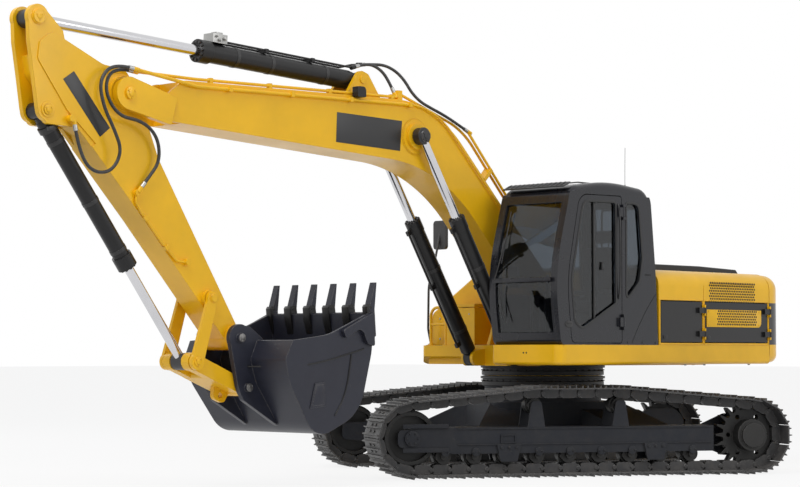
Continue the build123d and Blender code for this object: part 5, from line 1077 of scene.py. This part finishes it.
add_frame(rear_strip, ((0.571, 2.116, 0.05), (1.209, 2.116, 0.05), (1.209, 2.874, 0.05),
                       (0.571, 2.874, 0.05)), 0.024, -0.3285, -0.3365,
          lift=from_front, crown=0.003)
new_solid("rear_gasket", rear_strip, "superstructure", rubber)
bar = bmesh.new()
add_prism(bar, ((0.731, 1.64), (0.755, 1.63), (0.755, 2.88), (0.731, 2.88)), 1.3335, 1.3475,
          bevel=0.002)
add_prism(bar, rectangle((0.600, 2.16), (0.622, 2.24)), 1.3335, 1.352, bevel=0.003)
new_solid("sliding_glass_bar", bar, "cab_door", rubber)

# ---------------------------------------------------------------- cab fittings
# A flush pull in the door, a grab pole beside it, wipers for both halves of the windscreen, a
# guard over the roof's front edge, a radio aerial, and a seam in the lower rear panel.
def add_rod(bm, points, radius, sides=8):
    """A round rod through points, as one closed form."""
    mesh = curve_mesh("rod", points, radius, sides // 2)
    bm.from_mesh(mesh)


cab_black = paint("cab_fitting_black", (0.014, 0.014, 0.015), 0.4, dust=0.06, wear=0.1,
                  dust_colour=(0.1, 0.1, 0.1))
pull = bmesh.new()
add_prism(pull, [(1.172 + 0.062 * cos(a), 1.587 + 0.036 * sin(a))
                 for a in (2 * pi * i / 28 for i in range(28))], 1.3555, 1.3605, bevel=0.002)
add_prism(pull, rectangle((1.132, 1.592), (1.212, 1.606)), 1.3605, 1.3685, bevel=0.003)
new_solid("door_pull", pull, "cab_door", cab_black)
pole = bmesh.new()
add_rod(pole,
        ((0.352, 1.354, 1.86), (0.352, 1.384, 1.88), (0.352, 1.384, 2.84), (0.352, 1.354, 2.86)),
        0.010)
new_solid("grab_pole", pole, "cab_door", cab_black)
seam = bmesh.new()
seam_line = [(-0.300 + 0.425 * t, 1.922 - 0.531 * t + 0.16 * t * (1 - t)) for t in
             (i / 20 for i in range(21))]
add_prism(seam, seam_line + [(x + 0.006, z + 0.006) for x, z in reversed(seam_line)], 1.3553,
          1.3563)
new_solid("panel_seam", seam, "superstructure", hole_shade_and_seam_dark)
# A pressure slot in the cab's side, drawn as a near-black patch of painted shade for the opening
slot = bmesh.new()
add_prism(slot, rectangle((-0.20, 2.118), (-0.11, 2.134)), 1.3553, 1.3568, bevel=0.0006)
new_solid("pressure_slot", slot, "superstructure", hole_shade_and_seam_dark)

aerial = bmesh.new()
lathe(aerial, ((0.022, 3.041), (0.022, 3.062), (0.010, 3.082), (0.005, 3.10)), (-0.014, 1.16), 20,
      cap=True)
add_rod(aerial, ((-0.014, 1.16, 3.095), (-0.014, 1.16, 3.30), (-0.020, 1.16, 3.50)), 0.0024, 6)
new_solid("aerial", aerial, "superstructure", cab_black)

# The windscreen's plane leans back from the cab's front edge
GLASS_FOOT, GLASS_HEAD = Vector((1.392, 0, 2.080)), Vector((1.125, 0, 3.020))
GLASS_RISE = (GLASS_HEAD - GLASS_FOOT).normalized()
GLASS_OUT = Vector((GLASS_RISE.z, 0, -GLASS_RISE.x))


def on_windscreen(y, rise, out):
    """A point over the upper pane, so far above its lower edge and so far out from it."""
    return tuple(GLASS_FOOT + GLASS_RISE * rise + GLASS_OUT * out + Vector((0, y, 0)))


def on_lower_pane(y, z, out):
    lean = (z - 1.375) / (2.080 - 1.375)
    return (1.295 + 0.097 * lean + out, y, z)


wiper = bmesh.new()
add_rod(wiper, (on_windscreen(0.56, -0.05, 0.030), on_windscreen(0.585, 0.05, 0.034),
                on_windscreen(0.60, 0.40, 0.020)), 0.0065)
add_rod(wiper, (on_windscreen(0.60, 0.15, 0.010), on_windscreen(0.60, 0.72, 0.010)), 0.0060)
add_rod(wiper, (on_lower_pane(0.60, 1.66, 0.018), on_lower_pane(0.60, 1.99, 0.018)), 0.0055)
add_rod(wiper, (on_lower_pane(0.66, 1.60, 0.034), on_lower_pane(0.60, 1.84, 0.026)), 0.0060)
new_solid("wipers", wiper, "superstructure", cab_black)
split = bmesh.new()
add_prism(split, rectangle((0.49, 2.022), (1.29, 2.068)), 1.372, 1.392,
          lift=from_front, bevel=0.003)
new_solid("windscreen_rail", split, "superstructure", cab_paint)

visor = bmesh.new()
add_prism(visor, ((1.075, 3.050), (1.185, 3.006), (1.190, 3.018), (1.085, 3.066)), 0.47, 1.31,
          bevel=0.003)
for i in range(13):
    y = 0.51 + i * 0.0617
    add_prism(visor, ((1.10, 3.062), (1.178, 3.026), (1.178, 3.031), (1.10, 3.069)), y, y + 0.012)
new_solid("roof_visor", visor, "superstructure", cab_black)


def on_roof(a, b, c):
    """A height over the roof, which falls away to the front and the rear."""
    return (a, b, c - 0.20 * max(0, a - 0.48) ** 2 - 0.16 * max(0, 0.48 - a) ** 2)


roof_plate = bmesh.new()
add_frame(roof_plate,
          ((0.05, 0.62, 0.08), (0.85, 0.62, 0.08), (0.85, 1.16, 0.08), (0.05, 1.16, 0.08)),
          0.02, 3.094, 3.108, lift=on_roof, crown=0.004)
new_solid("roof_hatch_seal", roof_plate, "superstructure", rubber)
add_bolts("cab_bolts", "superstructure", [
    ([(x, 1.3555, 1.40) for x in (-0.28, -0.05, 0.20)], (0, 1, 0), 0.007),
], cab_black)

# ---------------------------------------------------------------- operator's seat
# A rubber bellows on a low box, a foam cushion and a back in woven cloth with sewn channels, a
# headrest on two posts and two armrests.
cloth, cloth_shader, nodes, links = new_material("seat_cloth", 0.85)
cloth_place = object_place(nodes)
links.new(add_blend(nodes, links, add_noise(nodes, links, cloth_place, 30, 6, 0.7),
                    (0.018, 0.019, 0.022), (0.045, 0.046, 0.050)),
                    cloth_shader.inputs["Base Color"])
weave = nodes.new("ShaderNodeTexWave")
weave.inputs["Scale"].default_value = 160
links.new(cloth_place, weave.inputs["Vector"])
roughen(nodes, links, cloth_shader, weave.outputs["Fac"], 0.0008)


def bell(offset, width):
    """1 in the middle, falling to nothing over about the width to each side."""
    return 2.718 ** -((offset / width) ** 2)


def cushion(name, middle, size, place, channels):
    """A crowned closed pad. size is half its length, width and depth, and place leans it."""
    pad = bmesh.new()
    bmesh.ops.create_cube(pad, size=2)
    bmesh.ops.subdivide_edges(pad, edges=pad.edges, cuts=17, use_grid_fill=True)
    for vertex in pad.verts:
        u, v, w = vertex.co
        power = 6
        shrink = (abs(u) ** power + abs(v) ** power + abs(w) ** power) ** (-1 / power)
        u, v, w = u * shrink, v * shrink, w * shrink
        crown = 0.016 * (1 - u * u) * (1 - v * v) * (1 if w > 0 else 0.1)
        pull_u = 0.010 * (1 - v * v) * abs(u) ** 4
        pull_v = 0.010 * (1 - u * u) * abs(v) ** 4
        seam_depth = 0.004 * bell(w, 0.10) * max(abs(u), abs(v)) ** 8
        sewn = sum(0.009 * bell(u - line, 0.05) for line in channels)
        sewn += 0.010 * bell(abs(v) - 0.62, 0.04)
        vertex.co = (
            u * size[0] - (pull_u + seam_depth) * (1 if u > 0 else -1),
            v * size[1] - (pull_v + seam_depth) * (1 if v > 0 else -1),
            w * size[2] + crown - sewn * max(0.0, w) ** 2,
        )
    mesh = mesh_of(pad, name)
    mesh.transform(Matrix.Translation(middle) @ place)
    piece = new_piece(name, mesh, "superstructure", cloth, smooth_angle=60)
    return piece


lean = Matrix.Rotation(radians(-76), 4, "Y")
cushion("seat_cushion", (0.305, 0.89, 1.782), (0.25, 0.235, 0.055), Matrix(), (-0.2, 0.35))
cushion("seat_back", (0.075, 0.89, 2.14), (0.30, 0.225, 0.050), lean, (-0.45, 0.0, 0.45))
cushion("headrest", (-0.010, 0.89, 2.545), (0.075, 0.13, 0.040), lean, ())
stand = bmesh.new()
add_prism(stand, rectangle((0.12, 0.73), (0.46, 1.05)), 1.436, 1.50, lift=from_above, bevel=0.006)
inset = 0.012
for i in range(6):
    z = 1.50 + i * 0.036
    add_prism(stand, rectangle((0.13 + inset, 0.74 + inset), (0.45 - inset, 1.04 - inset)),
              z, z + 0.036, lift=from_above, bevel=0.011)
for y in (0.845, 0.935):
    add_rod(stand, ((0.010, y, 2.39), (-0.010, y, 2.50)), 0.006)
for y in (0.64, 1.14):
    add_prism(stand, ((0.06, 1.925), (0.36, 1.925), (0.38, 1.945), (0.36, 1.965), (0.06, 1.965)),
              y - 0.025, y + 0.025, bevel=0.008)
seat_stand = new_solid("seat_stand", stand, "superstructure", plastic)
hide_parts("operator_seat")

# ---------------------------------------------------------------- cab controls
# Rubber gaiters and moulded grips on the two consoles, gauge screen on the front right pillar.
controls = bmesh.new()
for y in (0.56, 1.22):
    for low, high, radius in ((1.912, 1.925, 0.040), (1.925, 1.938, 0.034), (1.938, 1.951, 0.028)):
        lathe(controls, ((radius, low), (radius + 0.004, (low + high) / 2), (radius, high)),
              (0.57, y), 20, cap=True)
    lathe(controls, ((0.020, 2.03), (0.025, 2.06), (0.024, 2.10), (0.016, 2.13)), (0.57, y), 20,
          cap=True)
add_prism(controls, ((1.10, 1.98), (1.12, 2.20), (1.155, 2.20), (1.135, 1.98)), 0.50, 0.64,
          bevel=0.006)
add_rod(controls, ((1.16, 0.47, 1.90), (1.14, 0.50, 2.08)), 0.012)
new_solid("control_grips", controls, "superstructure", plastic)
screen, _, _, _ = new_material("gauge_screen", 0.08, colour=(0.01, 0.014, 0.018))
face = bmesh.new()
add_prism(face, rectangle((0.515, 2.00), (0.625, 2.18)), 1.0945, 1.0995,
          lift=lambda a, b, c: (c + (b - 1.98) * 0.09, a, b), bevel=0.001)
new_solid("gauge_screen", face, "superstructure", screen)


# ---------------------------------------------------------------- cylinder ends
# Each rod ends in a forged eye painted black, with a greased pin through it. A ring of socket bolts
# holds each gland, and a welded collar stands at each tube's foot.
rod_black = paint("rod_eye_black", (0.014, 0.014, 0.015), 0.36, dust=0.1, wear=0.25,
                  dust_colour=(0.12, 0.12, 0.12))


def add_ring(bm, x, z, inner, outer, low, high, sides=44, edge=0.003):
    """A flat ring about an axis along Y."""
    outline = ((inner, low), (outer - edge, low), (outer, low + edge), (outer, high - edge),
               (outer - edge, high), (inner, high))
    rings = [[bm.verts.new((x + r * cos(2 * pi * i / sides), y, z + r * sin(2 * pi * i / sides)))
              for i in range(sides)] for r, y in outline]
    rings.append(rings[0])
    join_rings(bm, rings)


def add_round(bm, x, z, radius, low, high, sides=40, bevel=0.004):
    """A disc or pin about an axis along Y."""
    add_prism(bm, round_outline(radius, sides, (x, z)), low, high, bevel=bevel)


BOOM_ROD_EYE, ARM_ROD_EYE, BUCKET_ROD_EYE = (2.2815, 3.5182), (6.9637, 4.2468), (5.193, 1.210)
BOOM_CYLINDER_FOOT, ARM_CYLINDER_FOOT, BUCKET_CYLINDER_FOOT = (
    (0.821, 1.236), (2.9598, 4.0577), (6.8573, 3.4318))
BOOM_CYLINDERS_Y = (-0.32, 0.32)
for name, body, eye, middles, bore, outer, half in (
    ("boom_rod_eyes", "boom_rods", BOOM_ROD_EYE, BOOM_CYLINDERS_Y, 0.050, 0.0885, 0.0455),
    ("arm_rod_eye", "arm_rod", ARM_ROD_EYE, (0,), 0.045, 0.0825, 0.0785),
    ("bucket_rod_eye", "bucket_rod", BUCKET_ROD_EYE, (0,), 0.045, 0.0805, 0.0765),
):
    eyes = bmesh.new()
    for y in middles:
        add_ring(eyes, *eye, bore, outer, y - half, y + half)
    new_solid(name, eyes, body, rod_black)


def cylinder_axes(start, end):
    """Unit vectors along a cylinder and square to it, in the machine's long plane."""
    along = Vector((end[0] - start[0], 0, end[1] - start[1])).normalized()
    return along, Vector((-along.z, 0, along.x))


def gland_bolts(start, end, side, reach, radius, size, count=10):
    """Bolts on a gland's face, its cylinder running from start to end at this side."""
    along, across = cylinder_axes(start, end)
    middle = Vector((start[0], side, start[1])) + along * reach
    points = [tuple(middle + across * radius * cos(a) + Vector((0, radius * sin(a), 0)))
              for a in (2 * pi * i / count for i in range(count))]
    return points, tuple(along), size


BOOM_CYLINDERS = (BOOM_CYLINDER_FOOT, BOOM_ROD_EYE)
ARM_CYLINDER = (ARM_CYLINDER_FOOT, ARM_ROD_EYE)
BUCKET_CYLINDER = (BUCKET_CYLINDER_FOOT, BUCKET_ROD_EYE)
for name, body, ends, middles, gland in (
    ("boom_gland_bolts", "boom_barrels", BOOM_CYLINDERS, BOOM_CYLINDERS_Y, (1.7355, 0.068, 0.0125)),
    ("arm_gland_bolts", "arm_barrel", ARM_CYLINDER, (0,), (2.0755, 0.086, 0.014, 12)),
    ("bucket_gland_bolts", "bucket_barrel", BUCKET_CYLINDER, (0,), (1.6905, 0.072, 0.012)),
):
    add_bolts(name, body, [gland_bolts(*ends, y, *gland) for y in middles], rod_black)


def add_collar(bm, start, end, side, reach, radius, length, sides=44):
    """A band round a cylinder's tube."""
    along, across = cylinder_axes(start, end)
    foot = Vector((start[0], side, start[1])) + along * reach
    profile = ((radius - 0.012, 0), (radius, 0.0), (radius, length), (radius - 0.012, length))
    rings = [[bm.verts.new(tuple(foot + along * d + across * r * cos(a) + Vector((0, r * sin(a),
                                                                                  0))))
              for a in (2 * pi * i / sides for i in range(sides))] for r, d in profile]
    rings.append(rings[0])
    join_rings(bm, rings)


for name, body, ends, middles, reaches, radius in (
    ("boom_cylinder_bands", "boom_barrels", BOOM_CYLINDERS, BOOM_CYLINDERS_Y, (0.35, 1.12), 0.0855),
    ("arm_cylinder_bands", "arm_barrel", ARM_CYLINDER, (0,), (0.42, 1.15, 1.60), 0.0995),
    ("bucket_cylinder_bands", "bucket_barrel", BUCKET_CYLINDER, (0,), (0.30, 0.95, 1.48), 0.0815),
):
    collars = bmesh.new()
    for y in middles:
        for reach in reaches:
            add_collar(collars, *ends, y, reach, radius, 0.036)
    new_solid(name, collars, body, rod_black)

# ---------------------------------------------------------------- pins, plates and welds
# Pins held by bolted keepers, some sprayed over with their boss and the bucket's left bright, blank
# dark plates riveted to the boom's and the arm's left sides.
for body, finish, spots in (
    ("boom", yellow_paint, ((*ARM_CYLINDER_FOOT, 0.044, 0.1335), (6.033, 3.640, 0.058, 0.2765))),
    ("arm", yellow_paint, ((*ARM_ROD_EYE, 0.046, 0.1495), (*BUCKET_CYLINDER_FOOT, 0.046, 0.1500))),
    ("bucket_link", yellow_paint, ((*BUCKET_ROD_EYE, 0.046, 0.2340),)),
    ("bucket_levers", yellow_paint, ((5.0065, 1.8039, 0.046, 0.2340),)),
    ("bucket", pin_steel, ((4.590, 0.963, 0.040, 0.2755), (4.685, 1.433, 0.040, 0.2755))),
    ("boom_rods", rod_black, ((*BOOM_ROD_EYE, 0.062, 0.3865),)),
):
    ends = bmesh.new()
    keepers = []
    for x, z, radius, face in spots:
        for sign in (-1, 1):
            near, far = sorted((sign * (face - 0.001), sign * (face + 0.008)))
            add_round(ends, x, z, radius, near, far)
            near, far = sorted((sign * (face + 0.008), sign * (face + 0.015)))
            add_round(ends, x, z, radius * 0.55, near, far)
            keepers.append((
                [(x + radius * 0.75 * cos(a), sign * (face + 0.0078), z + radius * 0.75 * sin(a))
                 for a in (0.5, 2.6, 4.7)], (0, sign, 0), radius * 0.13))
    new_piece(body + "_pin_ends", mesh_of(ends, body + "_pin_ends"), body, finish)
    add_bolts(body + "_pin_bolts", body, keepers, finish)

# Boss rings welded round the pins
beads = bmesh.new()
for sign in (-1, 1):
    near, far = sorted((sign * 0.2255, sign * 0.2300))
    add_ring(beads, *BOOM_ROD_EYE, 0.178, 0.190, near, far)
new_solid("boom_boss_rings", beads, "boom", yellow_paint)
beads = bmesh.new()
ARM_BOSS_FACE = 0.1385
for spot, radius in ((ARM_ROD_EYE, 0.072), (BUCKET_CYLINDER_FOOT, 0.070)):
    for sign in (-1, 1):
        near, far = sorted((sign * (ARM_BOSS_FACE - 0.001), sign * (ARM_BOSS_FACE + 0.010)))
        add_ring(beads, *spot, 0.048, radius, near, far)
new_solid("arm_boss_rings", beads, "arm", yellow_paint)

# The arm cylinder's valve block: a machined block with screwed plugs and two hose unions
BARREL_ALONG, BARREL_UP = Vector((0.9989, 0, 0.0471)), Vector((-0.0471, 0, 0.9989))


def on_barrel(along, up, side):
    """A point so far along the arm cylinder, up from it and to its side."""
    foot_x, foot_z = ARM_CYLINDER_FOOT
    return tuple(Vector((foot_x, side, foot_z)) + BARREL_ALONG * along + BARREL_UP * up)


valve = bmesh.new()
add_prism(valve, rectangle((1.757, 0.0975), (1.938, 0.1875)), -0.072, 0.072,
          lift=on_barrel, bevel=0.004)
add_prism(valve, rectangle((1.80, 0.1875), (1.88, 0.208)), -0.03, 0.05, lift=on_barrel, bevel=0.004)
for along, up, radius in ((1.80, 0.145, 0.020), (1.86, 0.125, 0.016), (1.90, 0.160, 0.014)):
    add_prism(valve, round_outline(radius, 6, (along, up)), 0.072, 0.092,
              lift=on_barrel, bevel=0.002)
    add_prism(valve, round_outline(radius * 0.7, 16, (along, up)), 0.092, 0.104,
              lift=on_barrel, bevel=0.002)
new_solid("valve_block_cover", valve, "arm_barrel", zinc)
guard = bmesh.new()
add_collar(guard, BUCKET_CYLINDER_FOOT, BUCKET_ROD_EYE, 0, 0.150, 0.092, 0.055)
add_prism(guard, ((6.775, 3.300), (6.830, 3.285), (6.822, 3.250), (6.765, 3.265)), 0.085, 0.125,
          bevel=0.004)
new_solid("bucket_cylinder_clamp", guard, "bucket_barrel", rod_black)

blank, _, _, _ = new_material("blank_plate", 0.4, colour=(0.016, 0.016, 0.017))
plates = bmesh.new()
add_prism(plates, ((3.399, 3.685), (2.472, 3.668), (2.501, 3.357), (3.412, 3.385)), 0.2254, 0.2274,
          bevel=0.0008)
new_solid("boom_blank_plate", plates, "boom", blank)
plates = bmesh.new()
add_prism(plates, ((6.701, 3.716), (6.582, 3.798), (6.175, 3.320), (6.287, 3.230)), 0.1504, 0.1524,
          bevel=0.0008)
new_solid("arm_blank_plate", plates, "arm", blank)

# ---------------------------------------------------------------- bucket wear parts
# Hardfaced strips curve down each side, a blank plate is welded on the left one, and each tooth is
# a cast point pinned on an adapter that clasps the lip.


def on_side(x, z, sign, out):
    """A point on the outside of the bucket's side, and so far out from it."""
    met, place, _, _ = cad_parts["bucket"].ray_cast((x, sign, z), (0, -sign, 0))
    return (x, (place.y if met else sign * 0.72) + sign * out, z)


beads, bosses, adapters = bmesh.new(), bmesh.new(), bmesh.new()
for sign in (-1, 1):
    for line in (
        ((4.59, 1.160), (4.35, 1.168), (4.10, 1.200), (3.825, 1.252), (3.50, 1.330)),
        ((3.671, 1.277), (3.687, 1.116), (3.711, 0.958), (3.767, 0.810), (3.852, 0.690)),
    ):
        add_rod(beads, [on_side(x, z, sign, 0.002) for x, z in line], 0.008, 6)
    add_prism(bosses, ((4.149, 1.004), (4.021, 1.014), (3.992, 0.780), (4.198, 0.764)), 0.0, 0.010,
              lift=lambda a, b, c, s=sign: on_side(a, b, s, c), bevel=0.003)
    add_prism(bosses, ((4.135, 0.985), (4.036, 0.993), (4.014, 0.800), (4.172, 0.787)), 0.010,
              0.014,
              lift=lambda a, b, c, s=sign: on_side(a, b, s, c), bevel=0.002)
new_solid("bucket_beads", beads, "bucket", black_paint)
new_solid("bucket_side_plates", bosses, "bucket", bucket_paint)
LIP_LOW, LIP_HIGH = Vector((3.3786, 1.3293)), Vector((3.4243, 1.6896))
LIP_RISE = (LIP_HIGH - LIP_LOW).normalized()
LIP_OUT = Vector((-LIP_RISE.y, LIP_RISE.x))
for i in range(6):
    y = -0.698 + i * 0.2792
    half = 0.047 if 0 < i < 5 else 0.036
    shape = ((-0.15, 0.026), (-0.04, 0.052), (0.055, 0.048), (0.075, 0.030), (0.075, -0.030),
             (0.055, -0.048), (-0.06, -0.052), (-0.21, -0.026))
    outline = [tuple(LIP_HIGH + LIP_RISE * rise + LIP_OUT * out) for rise, out in shape]
    add_prism(adapters, outline, y - half, y + half, bevel=0.006)
    pin = LIP_HIGH + LIP_RISE * 0.045
    add_round(adapters, pin.x, pin.y, 0.014, y - half - 0.004, y + half + 0.004, 16, 0.002)
new_solid("tooth_adapters", adapters, "bucket", black_paint)
